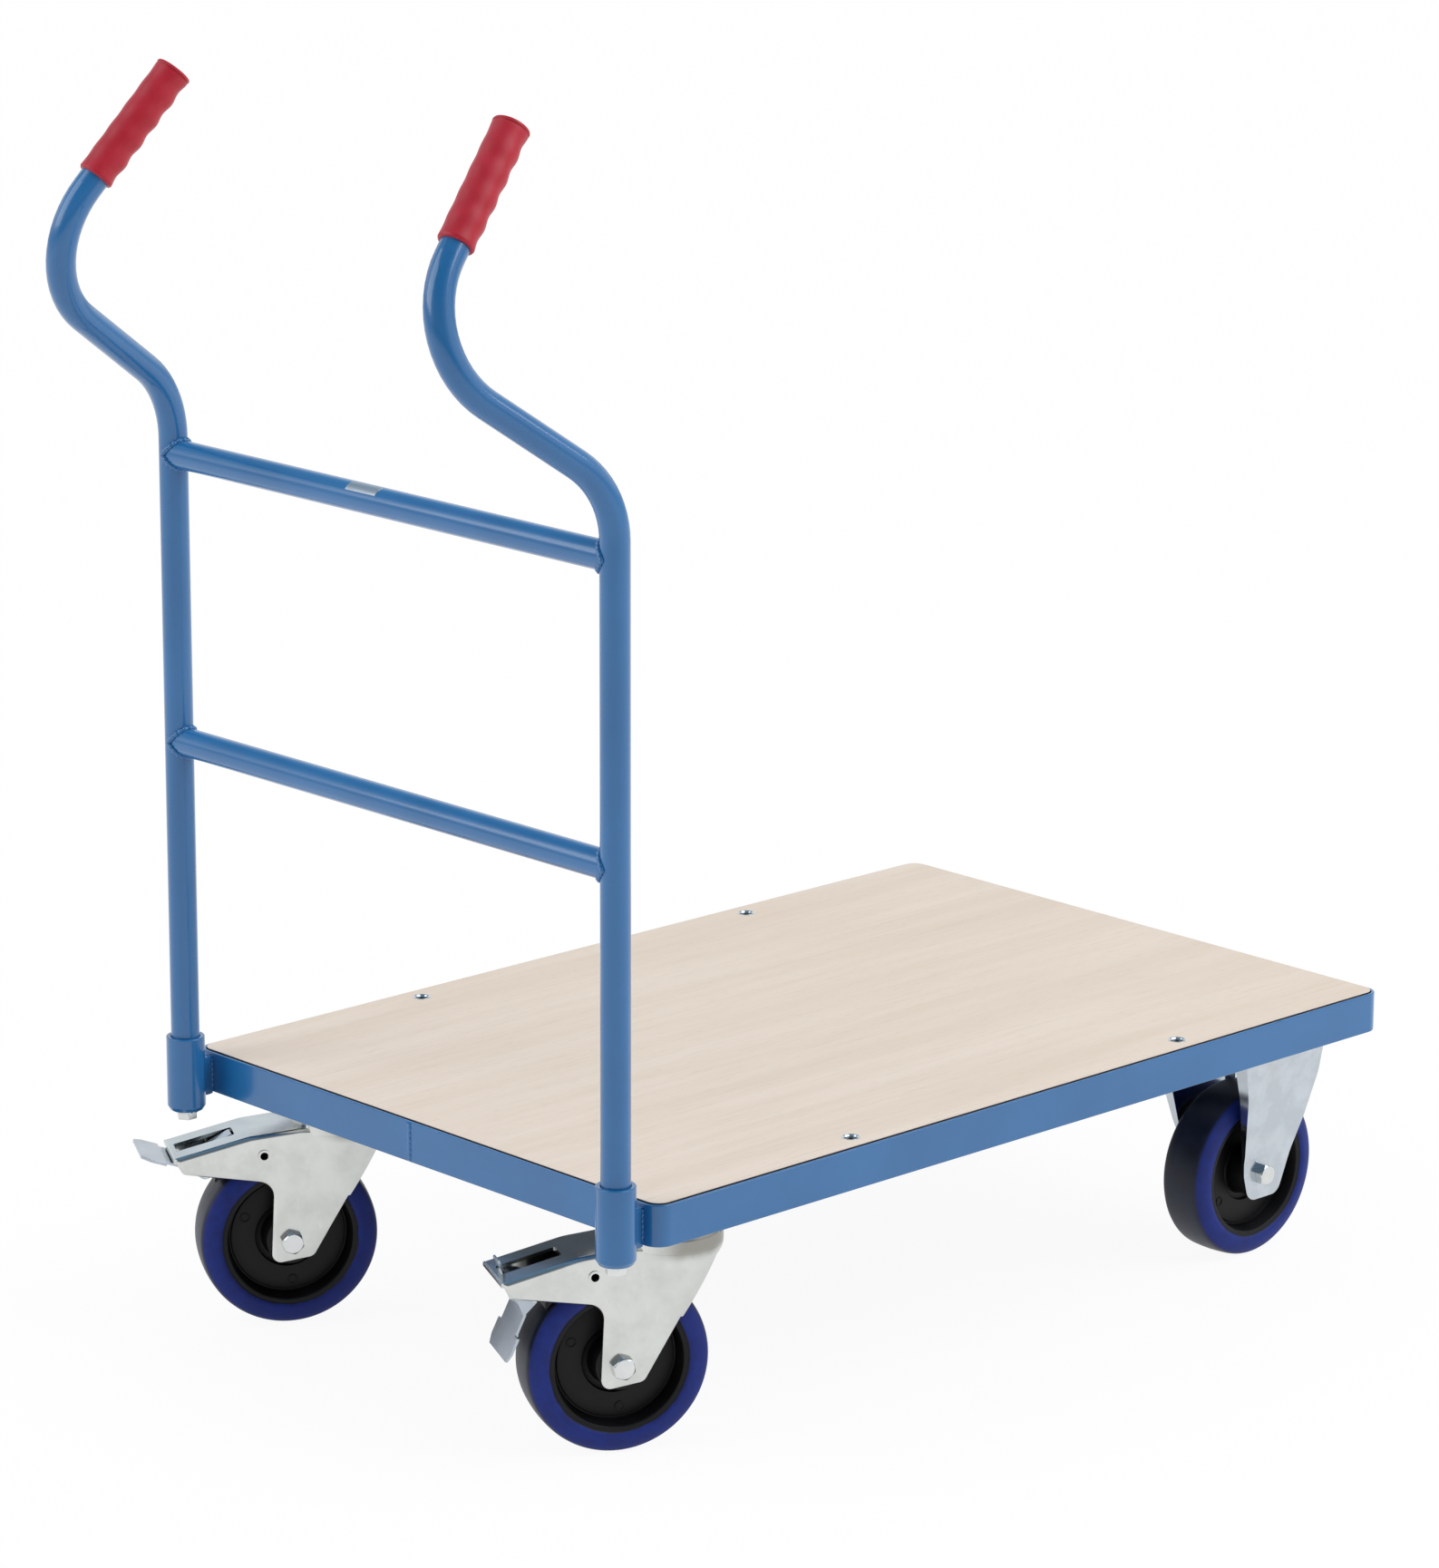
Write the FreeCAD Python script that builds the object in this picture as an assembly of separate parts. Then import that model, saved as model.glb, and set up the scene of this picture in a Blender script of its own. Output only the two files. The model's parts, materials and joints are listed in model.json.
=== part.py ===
import FreeCAD, Part
import math
import os

from FreeCAD import Placement, Rotation, Vector

# Flatbed platform truck with a two-post push handle, two swivel castors with
# total-lock brakes at the handle end and two fixed castors at the far end.
# Millimetres.  +X runs from the handle end to the fixed castors, +Y to the left
# ("left" and "right" are the sides of that direction), +Z up.
# The shapes are drawn about the middle plane of the deck.  export() then moves them
# sideways, so that the origin is on the floor under the middle of everything.

# ------------------------------------------------------------------ driving sizes
# deck frame: a bent and butt-welded steel angle with the board let into it
deck_length = 900.0
deck_width = 600.0
rim_height = 36.0
rim_sheet = 3.0
rim_flange = 30.0
rim_corner = 16.0
rim_edge_round = 1.0
board_thickness = 15.0
board_gap = 0.9
board_above_rim = 1.2
seam_bead_width = 5.0
seam_bead_rise = 0.9
seam_from_middle = 10.0

# two inverted channels carry the board and take its four screws
member_width = 40.0
member_sheet = 2.5
rear_member_from_rear = 243.0
front_member_from_rear = 649.0
screw_from_side = 23.0
screw_radius = 3.0
screw_head_radius = 6.0
screw_head_depth = 2.8
screw_head_sink = 1.2
screw_length = 26.0
cup_radius = 8.2
cup_sheet = 0.8
cup_rise = 0.4
board_nut_across_flats = 10.0
board_nut_height = 5.0

# castor pads welded into the four corners of the flange
pad_thickness = 5.0
pad_margin = 6.0

# push handle: two bent posts in welded sockets, joined by two rails
tube_diameter = 25.0
tube_wall = 2.0
socket_clearance = 0.35
socket_wall = 4.0
socket_gap = 10.0
socket_from_side = 20.5
socket_above_deck = 21.0
socket_length = 67.0
socket_neck_depth = 6.0
socket_mouth_radius = 7.0
socket_foot_turn = 4.0
web_thickness = 6.0
web_drop = 1.5
lower_rail_above_deck = 288.0
upper_rail_above_deck = 541.0
bend_corner_above_deck = 596.0
bend_radius = 80.0
slope_length = 225.0
slope_rise_deg = 34.7
grip_rise_deg = 48.2
toe_in_deg = 12.3
rail_bead = 2.6

# moulded hand grips
grip_length = 112.0
grip_wall = 3.2
grip_end_wall = 3.0
grip_waves = 5
grip_wave_depth = 1.3
grip_flange_rise = 1.2
grip_flange_length = 4.0
straight_below_grip = 97.0

# handle bolts: one hexagon screw up into a plug in each post
plug_height = 16.0
handle_bolt_radius = 5.0
handle_bolt_across_flats = 16.0
handle_bolt_head = 6.4
handle_washer_radius = 11.0
handle_washer_thickness = 2.0

# blank plate on the upper rail
plate_length = 38.0
plate_arc_deg = 50.0
plate_facing_deg = 120.0
plate_sheet = 0.5
plate_from_middle = 20.0

# wheels
wheel_diameter = 160.0
wheel_width = 50.0
tread_width = 37.0
tread_crown = 1.2
tyre_depth = 20.0
tyre_seat_width = 46.0
tyre_side_bulge = 2.0
rim_lip = 3.2
rim_wall = 6.5
recess_depth = 13.0
web_plate_radius = 29.0
web_plate_half = 6.0
boss_radius = 22.0
hub_length = 54.0
hub_side_gap = 1.0
bearing_outer_radius = 16.0
bearing_length = 14.0
axle_tube_radius = 10.0
running_clearance = 0.06

# castors
castor_head_height = 51.0
castor_sheet = 3.0
plate_thickness = 4.0
plate_along = 140.0
plate_across = 110.0
plate_corner = 10.0
bolt_span_along = 105.0
bolt_span_across = 80.0
castor_bolt_radius = 5.0
castor_bolt_across_flats = 16.0
castor_bolt_head = 6.4
castor_nut_height = 8.0
castor_hole_clearance = 0.5
axle_bolt_radius = 6.0
axle_bolt_across_flats = 18.0
axle_bolt_head = 7.5
axle_nut_height = 10.0
axle_thread_beyond_nut = 2.0
castor_from_rear = 94.0
castor_from_front = 95.0
castor_from_side = 86.0

# swivel castors
swivel_offset = 50.6
right_trail_deg = 154.0
left_trail_deg = 150.5
head_radius = 45.0
head_bowl_round = 20.0
head_skirt_drop = 5.0
kingpin_radius = 8.0
kingpin_collar_radius = 14.0
lock_ring_radius = 22.0
lock_ring_teeth = 20
ball_radius = 3.0
ball_circle_radius = 29.5
ball_count = 24
moving_gap = 0.3
arm_overhang = 23.4
arm_end_lip = 4.2
arm_slot_half_width = 10.5
arm_slot_ahead = 28.0
arm_slot_behind = 23.5
rivet_radius = 4.7
rivet_bore = 3.6
rivet_flange_radius = 5.6
rivet_ahead_of_axle = 23.6
rivet_flange = 1.0

# brake: a rocking pedal and the brake lever under it
pedal_sheet = 2.5
pedal_pin_ahead_of_arm_end = 29.0
pedal_pin_below_arm_end = 16.0
pedal_pin_radius = 3.5
pedal_swing_deg = 85.0
pedal_inner_width = 44.0
pedal_flap_width = 58.0
pedal_flap_corner = 6.0
pedal_tab_width = 15.0
pedal_ear_radius = 6.5
pedal_blade_below_pin = 16.6
pedal_blade_behind_pin = 7.0
pedal_tab_above_pin = 27.5
pedal_tab_behind_pin = 25.0
pedal_flap_below_pin = 55.0
pedal_flap_behind_pin = 24.0
lever_pivot_outside_tyre = 12.3
lever_pivot_deg = 68.8
lever_pin_radius = 3.5
lever_boss_radius = 7.0
lever_width = 34.0
lever_nose_width = 10.0
lever_swing_deg = 6.0
lever_tyre_gap = 0.4

# fixed castors
fixed_leg_foot_rear = 18.5
fixed_leg_foot_front = 21.5
fixed_leg_foot_round = 13.0
fixed_leg_waist_rear = 25.0
fixed_leg_waist_front = 37.0
fixed_leg_top_rear = 50.5
fixed_leg_top_front = 57.0
fixed_leg_splay = 22.0
fixed_leg_turned_edge = 13.0
fixed_leg_below_axle = 23.0

# ------------------------------------------------------------------ derived places
wheel_radius = wheel_diameter / 2
deck_underside = wheel_diameter + castor_head_height
deck_top = deck_underside + rim_height
board_top = deck_top + board_above_rim
board_underside = board_top - board_thickness
screw_head_top = board_top - screw_head_sink
cup_foot = screw_head_top - screw_head_depth - cup_sheet
flange_top = deck_underside + rim_sheet
pad_top = deck_underside + pad_thickness

tube_radius = tube_diameter / 2
socket_bore = tube_radius + socket_clearance
socket_radius = socket_bore + socket_wall
socket_top = deck_top + socket_above_deck
socket_foot = socket_top - socket_length
post_foot = socket_foot + socket_neck_depth


def unit(vector):
    """The vector at length one."""
    return vector * (1.0 / vector.Length)


def heading(side, forward, rise_deg):
    """Direction that rises at an angle and turns in by the toe-in; side is +1 for left."""
    flat = math.cos(math.radians(rise_deg))
    toe = math.radians(toe_in_deg)
    return Vector(forward * flat * math.cos(toe), -side * flat * math.sin(toe),
                  math.sin(math.radians(rise_deg)))


def bend_setback(first, second):
    """Distance from a bend's corner to where its arc starts."""
    turn = first.getAngle(second)
    return bend_radius * math.tan(turn / 2)


def bend_middle(corner, first, second):
    """Middle point of the arc that rounds a corner between two directions."""
    turn = first.getAngle(second)
    inward = unit(second - first)
    return corner + inward * (bend_radius / math.cos(turn / 2) - bend_radius)


def post_points(side, post_x):
    """Corners of a handle post's centre line: foot, two bends and the open end."""
    post_y = side * (deck_width / 2 - socket_from_side)
    foot = Vector(post_x, post_y, post_foot)
    first = Vector(post_x, post_y, deck_top + bend_corner_above_deck)
    second = first + heading(side, -1, slope_rise_deg) * slope_length
    reach = straight_below_grip + grip_length - grip_end_wall
    end = second + heading(side, 1, grip_rise_deg) * reach
    return foot, first, second, end


def post_overhang():
    """How far a post's rear bend stands behind the rear face of the deck frame."""
    foot, first, second, end = post_points(1, -(socket_gap + socket_radius))
    slope = unit(second - first)
    grip = unit(end - second)
    middle = bend_middle(second, slope, grip)
    return tube_radius - middle.x


overhang = post_overhang()
overall_length = deck_length + overhang
rear_face = overhang - overall_length / 2
front_face = rear_face + deck_length
deck_middle = (rear_face + front_face) / 2
post_x = rear_face - socket_gap - socket_radius
post_side = deck_width / 2 - socket_from_side

castor_side = deck_width / 2 - castor_from_side
swivel_x = rear_face + castor_from_rear
fixed_x = front_face - castor_from_front

hub_half = hub_length / 2
fork_inside = hub_half + hub_side_gap
fork_outside = fork_inside + castor_sheet
plate_underside = deck_underside - plate_thickness
fork_top = plate_underside - 24.0

SIDES = {"right": -1, "left": 1}


# in the castor's own frame: swivel axis on Z, wheel trailing towards +X
arm_end = swivel_offset + wheel_radius + arm_overhang
arm_end_top = wheel_diameter + 3.0
pedal_pivot = (arm_end - pedal_pin_ahead_of_arm_end, arm_end_top - pedal_pin_below_arm_end)


def released_flap_reach():
    """How far the left castor's raised pedal stands out from the deck's middle plane."""
    flap_length = math.hypot(pedal_flap_behind_pin, pedal_flap_below_pin)
    flap_angle = math.radians(pedal_swing_deg) - math.atan2(pedal_flap_below_pin, pedal_flap_behind_pin)
    behind_axis = pedal_pivot[0] + flap_length * math.cos(flap_angle)
    trail = math.radians(left_trail_deg)
    half_edge = pedal_flap_width / 2 - pedal_flap_corner
    return castor_side + behind_axis * math.sin(trail) - half_edge * math.cos(trail)


to_origin = Vector(0, -(released_flap_reach() - deck_width / 2) / 2, 0)


# ------------------------------------------------------------------ shape helpers
def export(name, shape):
    """Write one node's STEP file, moved so that the origin is under the middle of everything."""
    moved = shape.copy()
    moved.translate(to_origin)
    moved.exportStep("parts/" + name + ".step")


def group(solids):
    """Several separate solids in one node."""
    return Part.makeCompound(solids)


def rounded_wire(corners, lift):
    """Closed wire through (a, b, radius) corners; lift turns (a, b) into a point."""
    edges = []
    count = len(corners)
    starts = []
    ends = []
    arcs = []
    for index in range(count):
        before = Vector(*corners[index - 1][:2], 0)
        here = Vector(*corners[index][:2], 0)
        after = Vector(*corners[(index + 1) % count][:2], 0)
        radius = corners[index][2]
        arriving = unit(here - before)
        leaving = unit(after - here)
        turn = arriving.getAngle(leaving)
        if radius == 0 or turn < 1e-6:
            starts.append(here)
            ends.append(here)
            arcs.append(None)
            continue
        setback = radius * math.tan(turn / 2)
        middle = here + unit(leaving - arriving) * (radius / math.cos(turn / 2) - radius)
        starts.append(here - arriving * setback)
        ends.append(here + leaving * setback)
        arcs.append(middle)
    for index in range(count):
        if arcs[index] is not None:
            edges.append(Part.Arc(lift(starts[index]), lift(arcs[index]), lift(ends[index])).toShape())
        following = starts[(index + 1) % count]
        if (following - ends[index]).Length > 1e-6:
            edges.append(Part.LineSegment(lift(ends[index]), lift(following)).toShape())
    return Part.Wire(edges)


def side_prism(corners, low, high):
    """Outline in X and Z, solid between two Y values."""
    wire = rounded_wire(corners, lambda p: Vector(p.x, low, p.y))
    return Part.Face(wire).extrude(Vector(0, high - low, 0))


def end_prism(corners, low, high):
    """Outline in Y and Z, solid between two X values."""
    wire = rounded_wire(corners, lambda p: Vector(low, p.x, p.y))
    return Part.Face(wire).extrude(Vector(high - low, 0, 0))


def flat_prism(corners, low, high):
    """Outline in X and Y, solid between two Z values."""
    wire = rounded_wire(corners, lambda p: Vector(p.x, p.y, low))
    return Part.Face(wire).extrude(Vector(0, 0, high - low))


def rounded_plate(length, width, corner, low, high, centre_x=0.0, centre_y=0.0):
    """Rectangular plate with round corners."""
    a, b = length / 2, width / 2
    corners = [(centre_x - a, centre_y - b, corner), (centre_x + a, centre_y - b, corner),
               (centre_x + a, centre_y + b, corner), (centre_x - a, centre_y + b, corner)]
    return flat_prism(corners, low, high)


def upright(radius, low, high, x=0.0, y=0.0):
    """Vertical cylinder."""
    return Part.makeCylinder(radius, high - low, Vector(x, y, low), Vector(0, 0, 1))


def crossbar(radius, low, high, x=0.0, z=0.0):
    """Cylinder along Y."""
    return Part.makeCylinder(radius, high - low, Vector(x, low, z), Vector(0, 1, 0))


def hexagon(across_flats, low, high, x=0.0, y=0.0):
    """Vertical hexagonal prism."""
    corner = across_flats / math.sqrt(3)
    points = []
    for index in range(6):
        angle = math.radians(60 * index)
        points.append((x + corner * math.cos(angle), y + corner * math.sin(angle), 0))
    return flat_prism(points, low, high)


def hexagon_across(across_flats, low, high, x, z, turn_deg):
    """Hexagonal prism along Y with its corners rounded off at the outer end."""
    corner = across_flats / math.sqrt(3)
    points = []
    for index in range(6):
        angle = math.radians(60 * index + turn_deg)
        points.append((x + corner * math.cos(angle), z + corner * math.sin(angle), 0))
    return side_prism(points, low, high)


def chamfered_head(across_flats, inner, outer, x, z, turn_deg):
    """Bolt head along Y: a hexagon whose corners are turned off at the outer face."""
    low, high = min(inner, outer), max(inner, outer)
    block = hexagon_across(across_flats, low, high, x, z, turn_deg)
    corner = across_flats / math.sqrt(3)
    out = 1.0 if outer > inner else -1.0
    depth = abs(outer - inner)
    turned = Part.makeCone(corner + depth, across_flats * 0.47, depth + corner - across_flats * 0.47 + 0.001,
                           Vector(x, outer - out * (depth + corner - across_flats * 0.47 + 0.001), z),
                           Vector(0, out, 0))
    return block.common(turned)


def spun(profile, centre, axis, along):
    """Solid of revolution: profile points are (radius, distance along the axis)."""
    points = [centre + along * radius + axis * distance for radius, distance in profile]
    points.append(points[0])
    face = Part.Face(Part.makePolygon(points))
    return face.revolve(centre, axis, 360)


def spun_rounded(corners, centre, axis, along):
    """Solid of revolution of an outline with rounded corners (radius, distance, round)."""
    wire = rounded_wire(corners, lambda p: centre + along * p.x + axis * p.y)
    return Part.Face(wire).revolve(centre, axis, 360)


def placed(shape, x, y, turn_deg):
    """Copy of a castor piece, turned about its vertical axis and set under the deck."""
    copy = shape.copy()
    copy.Placement = Placement(Vector(x, y, 0), Rotation(Vector(0, 0, 1), turn_deg)).multiply(copy.Placement)
    return copy


# ------------------------------------------------------------------ deck frame
def rim_outer(low, high):
    return rounded_plate(deck_length, deck_width, rim_corner, low, high, deck_middle, 0)


def frame_rim():
    """Angle section bent round four corners, with its foot flange turned inwards."""
    outer = rim_outer(deck_underside, deck_top)
    edges = [edge for edge in outer.Edges
             if abs(edge.BoundBox.ZMin - edge.BoundBox.ZMax) < 1e-6]
    outer = outer.makeFillet(rim_edge_round, edges)
    well = rounded_plate(deck_length - 2 * rim_sheet, deck_width - 2 * rim_sheet,
                         rim_corner - rim_sheet, flange_top, deck_top + 1, deck_middle, 0)
    hole = Part.makeBox(deck_length - 2 * rim_flange, deck_width - 2 * rim_flange, rim_height,
                        Vector(rear_face + rim_flange, rim_flange - deck_width / 2, deck_underside - 1))
    return outer.cut(well).cut(hole)


def frame_seam():
    """Weld bead that closes the bent angle in the middle of the rear rail."""
    radius = (seam_bead_width ** 2 / 4 + seam_bead_rise ** 2) / (2 * seam_bead_rise)
    bead = upright(radius, deck_underside + rim_edge_round, deck_top - rim_edge_round,
                   rear_face - seam_bead_rise + radius, seam_from_middle)
    return bead.cut(rim_outer(deck_underside - 1, deck_top + 1))


def screw_places(member_from_rear):
    """The two screws over one cross member."""
    x = rear_face + member_from_rear
    y = deck_width / 2 - screw_from_side
    return [(x, -y), (x, y)]


ALL_SCREWS = screw_places(rear_member_from_rear) + screw_places(front_member_from_rear)


def cross_member(member_from_rear):
    """Inverted channel that stands on the flange and carries the board."""
    x = rear_face + member_from_rear
    span = deck_width - 2 * rim_sheet
    channel = Part.makeBox(member_width, span, board_underside - flange_top,
                           Vector(x - member_width / 2, -span / 2, flange_top))
    inside = Part.makeBox(member_width - 2 * member_sheet, span + 2,
                          board_underside - flange_top - member_sheet,
                          Vector(x - member_width / 2 + member_sheet, -span / 2 - 1, flange_top))
    channel = channel.cut(inside)
    for place in screw_places(member_from_rear):
        channel = channel.cut(upright(screw_radius, flange_top, deck_top, *place))
    return channel


def cup_washer(x, y):
    """Pressed cup washer that takes a countersunk head."""
    profile = [(screw_radius, cup_foot), (cup_radius, board_top), (cup_radius, board_top + cup_rise / 2),
               (cup_radius - cup_sheet, board_top + cup_rise), (screw_head_radius + cup_sheet, board_top),
               (screw_head_radius, screw_head_top), (screw_radius, cup_foot + cup_sheet)]
    return spun(profile, Vector(x, y, 0), Vector(0, 0, 1), Vector(1, 0, 0))


def board_screw(x, y):
    """Countersunk machine screw with a shallow socket in its head."""
    top = screw_head_top
    profile = [(0, top - screw_length), (screw_radius, top - screw_length),
               (screw_radius, top - screw_head_depth), (screw_head_radius, top), (0, top)]
    screw = spun(profile, Vector(x, y, 0), Vector(0, 0, 1), Vector(1, 0, 0))
    return screw.cut(hexagon(screw_head_radius * 0.7, top - 2.0, top + 1, x, y))


def board_nut(x, y):
    """Nut under the web of the cross member."""
    high = board_underside - member_sheet
    nut = hexagon(board_nut_across_flats, high - board_nut_height, high, x, y)
    return nut.cut(upright(screw_radius, high - board_nut_height - 1, high + 1, x, y))


def deck_board():
    """Faced board that lies inside the rim on the two cross members and stands a little above it."""
    inset = 2 * (rim_sheet + board_gap)
    board = rounded_plate(deck_length - inset, deck_width - inset, rim_corner - rim_sheet - board_gap,
                          board_underside, board_top, deck_middle, 0)
    for x, y in ALL_SCREWS:
        dish = spun([(0, cup_foot), (screw_radius, cup_foot), (cup_radius, board_top), (cup_radius, board_top + 1),
                     (0, board_top + 1)], Vector(x, y, 0), Vector(0, 0, 1), Vector(1, 0, 0))
        board = board.cut(dish).cut(upright(screw_radius, board_underside - 1, board_top, x, y))
    return board


CASTORS = [(swivel_x, -castor_side), (swivel_x, castor_side), (fixed_x, -castor_side), (fixed_x, castor_side)]


def castor_bolt_places(x, y):
    """The four bolts of one castor plate."""
    a, b = bolt_span_along / 2, bolt_span_across / 2
    return [(x - a, y - b), (x + a, y - b), (x + a, y + b), (x - a, y + b)]


def castor_pad(x, y):
    """Plate welded into a corner of the flange for a castor to bolt on to."""
    outer_y = deck_width / 2 - rim_flange
    inner_y = abs(y) - plate_across / 2 - pad_margin
    if x < deck_middle:
        low_x = rear_face + rim_flange
        high_x = x + plate_along / 2 + pad_margin
    else:
        low_x = x - plate_along / 2 - pad_margin
        high_x = front_face - rim_flange
    low_y = inner_y if y > 0 else -outer_y
    pad = Part.makeBox(high_x - low_x, outer_y - inner_y, pad_thickness, Vector(low_x, low_y, deck_underside))
    for place in castor_bolt_places(x, y):
        pad = pad.cut(upright(castor_bolt_radius + castor_hole_clearance, deck_underside - 1, pad_top + 1, *place))
    return pad


def castor_bolt(x, y):
    """Hexagon bolt up through a castor plate and its pad."""
    shank_top = pad_top + castor_nut_height + 2
    head = hexagon(castor_bolt_across_flats, plate_underside - castor_bolt_head, plate_underside, x, y)
    return head.fuse(upright(castor_bolt_radius, plate_underside, shank_top, x, y)).removeSplitter()


def castor_nut(x, y):
    nut = hexagon(castor_bolt_across_flats, pad_top, pad_top + castor_nut_height, x, y)
    return nut.cut(upright(castor_bolt_radius, pad_top - 1, pad_top + castor_nut_height + 1, x, y))


# ------------------------------------------------------------------ push handle
def socket(side):
    """Steel tube welded behind the frame, necked in at its foot to carry the post."""
    y = side * post_side
    corners = [(socket_bore, socket_top, 0.8), (socket_radius, socket_top, 0.8),
               (socket_radius, socket_foot + socket_foot_turn, 2.0),
               (socket_radius - 0.6 * socket_foot_turn, socket_foot, 1.0), (socket_mouth_radius, socket_foot, 0),
               (socket_mouth_radius, socket_foot + socket_neck_depth, 0),
               (socket_bore, socket_foot + socket_neck_depth, 0)]
    return spun_rounded(corners, Vector(post_x, y, 0), Vector(0, 0, 1), Vector(1, 0, 0))


def socket_web(side):
    """Gusset welded between a socket and the rear corner of the frame."""
    y = side * post_side
    foot = deck_underside - web_drop
    reach = rear_face + rim_corner / 3
    corners = [(post_x, foot, 0), (rear_face - socket_gap * 0.3, foot, 0.8), (reach, deck_underside, 0),
               (reach, deck_top - 3 * rim_edge_round, 0), (post_x, deck_top - 3 * rim_edge_round, 0)]
    web = side_prism(corners, y - web_thickness / 2, y + web_thickness / 2)
    web = web.cut(upright(socket_radius, foot - 1, deck_top + 1, post_x, y))
    return web.cut(rim_outer(deck_underside - 1, deck_top + 1))


def post_path(side, start, stop_short):
    """Centre line of a post as a wire of straight runs and two tangent arcs."""
    foot, first, second, end = post_points(side, post_x)
    rise = Vector(0, 0, 1)
    slope = unit(second - first)
    grip = unit(end - second)
    low_set = bend_setback(rise, slope)
    high_set = bend_setback(slope, grip)
    begin = Vector(foot.x, foot.y, start)
    finish = end - grip * stop_short
    arc_one = [first - rise * low_set, bend_middle(first, rise, slope), first + slope * low_set]
    arc_two = [second - slope * high_set, bend_middle(second, slope, grip), second + grip * high_set]
    edges = [Part.LineSegment(begin, arc_one[0]).toShape(), Part.Arc(*arc_one).toShape(),
             Part.LineSegment(arc_one[2], arc_two[0]).toShape(), Part.Arc(*arc_two).toShape(),
             Part.LineSegment(arc_two[2], finish).toShape()]
    return Part.Wire(edges)


def swept(path, radius):
    """Round bar along a path that starts straight up."""
    start = path.Edges[0].firstVertex().Point
    ring = Part.Wire(Part.makeCircle(radius, start, Vector(0, 0, 1)))
    bar = path.makePipeShell([ring], True, False, 1)
    return bar


def handle_post(side):
    """Bent steel tube from the foot of its socket to inside the grip."""
    path = post_path(side, post_foot, 0)
    return swept(path, tube_radius).cut(swept(path, tube_radius - tube_wall))


def handle_rail(height):
    """Straight tube between the posts, its ends coped to fit them."""
    rail = crossbar(tube_radius, -post_side, post_side, post_x, height)
    rail = rail.cut(crossbar(tube_radius - tube_wall, -post_side, post_side, post_x, height))
    for side in SIDES.values():
        rail = rail.cut(upright(tube_radius, height - tube_diameter, height + tube_diameter,
                                post_x, side * post_side))
    return rail


def rail_weld(height, side):
    """Fillet bead round a rail where it meets a post."""
    y = side * post_side
    collar = upright(tube_radius + rail_bead, height - tube_diameter, height + tube_diameter, post_x, y)
    collar = collar.cut(upright(tube_radius, height - tube_diameter, height + tube_diameter, post_x, y))
    bar = crossbar(tube_radius + rail_bead, min(0, y), max(0, y), post_x, height)
    return collar.common(bar).cut(crossbar(tube_radius, -post_side, post_side, post_x, height))


def hand_grip(side):
    """Closed soft grip with finger waves and a rolled flange at its free end."""
    foot, first, second, end = post_points(side, post_x)
    axis = unit(end - second)
    base = second + axis * straight_below_grip
    along = unit(axis.cross(Vector(0, 1, 0)))
    crest = tube_radius + grip_wall
    valley = crest - grip_wave_depth
    wave_run = grip_length - grip_flange_length
    pitch = wave_run / grip_waves

    def point(radius, distance):
        return base + along * radius + axis * distance

    edges = [Part.LineSegment(point(tube_radius, 0), point(valley, 0)).toShape()]
    for index in range(grip_waves):
        low, high = index * pitch, (index + 1) * pitch
        arc = Part.Arc(point(valley, low), point(crest, (low + high) / 2), point(valley, high))
        edges.append(arc.toShape())
    rim = crest + grip_flange_rise
    inside = grip_length - grip_end_wall
    run = [(valley, wave_run), (rim, wave_run), (rim, grip_length - 1.0), (rim - 1.0, grip_length),
           (0, grip_length), (0, inside), (tube_radius, inside), (tube_radius, 0)]
    for start, stop in zip(run, run[1:]):
        edges.append(Part.LineSegment(point(*start), point(*stop)).toShape())
    return Part.Face(Part.Wire(edges)).revolve(base, axis, 360)


def handle_plug(side):
    """Threaded plug pressed into the foot of a post."""
    y = side * post_side
    plug = upright(tube_radius - tube_wall, post_foot, post_foot + plug_height, post_x, y)
    return plug.cut(upright(handle_bolt_radius, post_foot - 1, post_foot + plug_height + 1, post_x, y))


def handle_bolt(side):
    """Hexagon screw and washer that draw a post down into its socket."""
    y = side * post_side
    under = socket_foot - handle_washer_thickness
    head = hexagon(handle_bolt_across_flats, under - handle_bolt_head, under, post_x, y)
    shank = upright(handle_bolt_radius, under, post_foot + plug_height - 1, post_x, y)
    return head.fuse(shank).removeSplitter()


def handle_washer(side):
    y = side * post_side
    washer = upright(handle_washer_radius, socket_foot - handle_washer_thickness, socket_foot, post_x, y)
    return washer.cut(upright(handle_bolt_radius, socket_foot - 10, socket_foot + 10, post_x, y))


def blank_plate():
    """Bare metal plate stuck round the top of the upper rail."""
    height = deck_top + upper_rail_above_deck
    low_y = plate_from_middle - plate_length / 2
    outer = Part.makeCylinder(tube_radius + plate_sheet, plate_length, Vector(0, 0, 0), Vector(0, 0, 1),
                              plate_arc_deg)
    inner = Part.makeCylinder(tube_radius, plate_length + 2, Vector(0, 0, -1), Vector(0, 0, 1), 360)
    plate = outer.cut(inner)
    plate.rotate(Vector(0, 0, 0), Vector(0, 0, 1), -plate_arc_deg / 2)
    plate.rotate(Vector(0, 0, 0), Vector(1, 0, 0), 90)
    plate.translate(Vector(0, plate_length, 0))
    plate.rotate(Vector(0, 0, 0), Vector(0, 1, 0), -plate_facing_deg)
    plate.translate(Vector(post_x, low_y, height))
    return plate


# ------------------------------------------------------------------ wheel, about the Y axis
def wheel_axis(axle_x):
    return Vector(axle_x, 0, wheel_radius), Vector(0, 1, 0), Vector(0, 0, -1)


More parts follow.
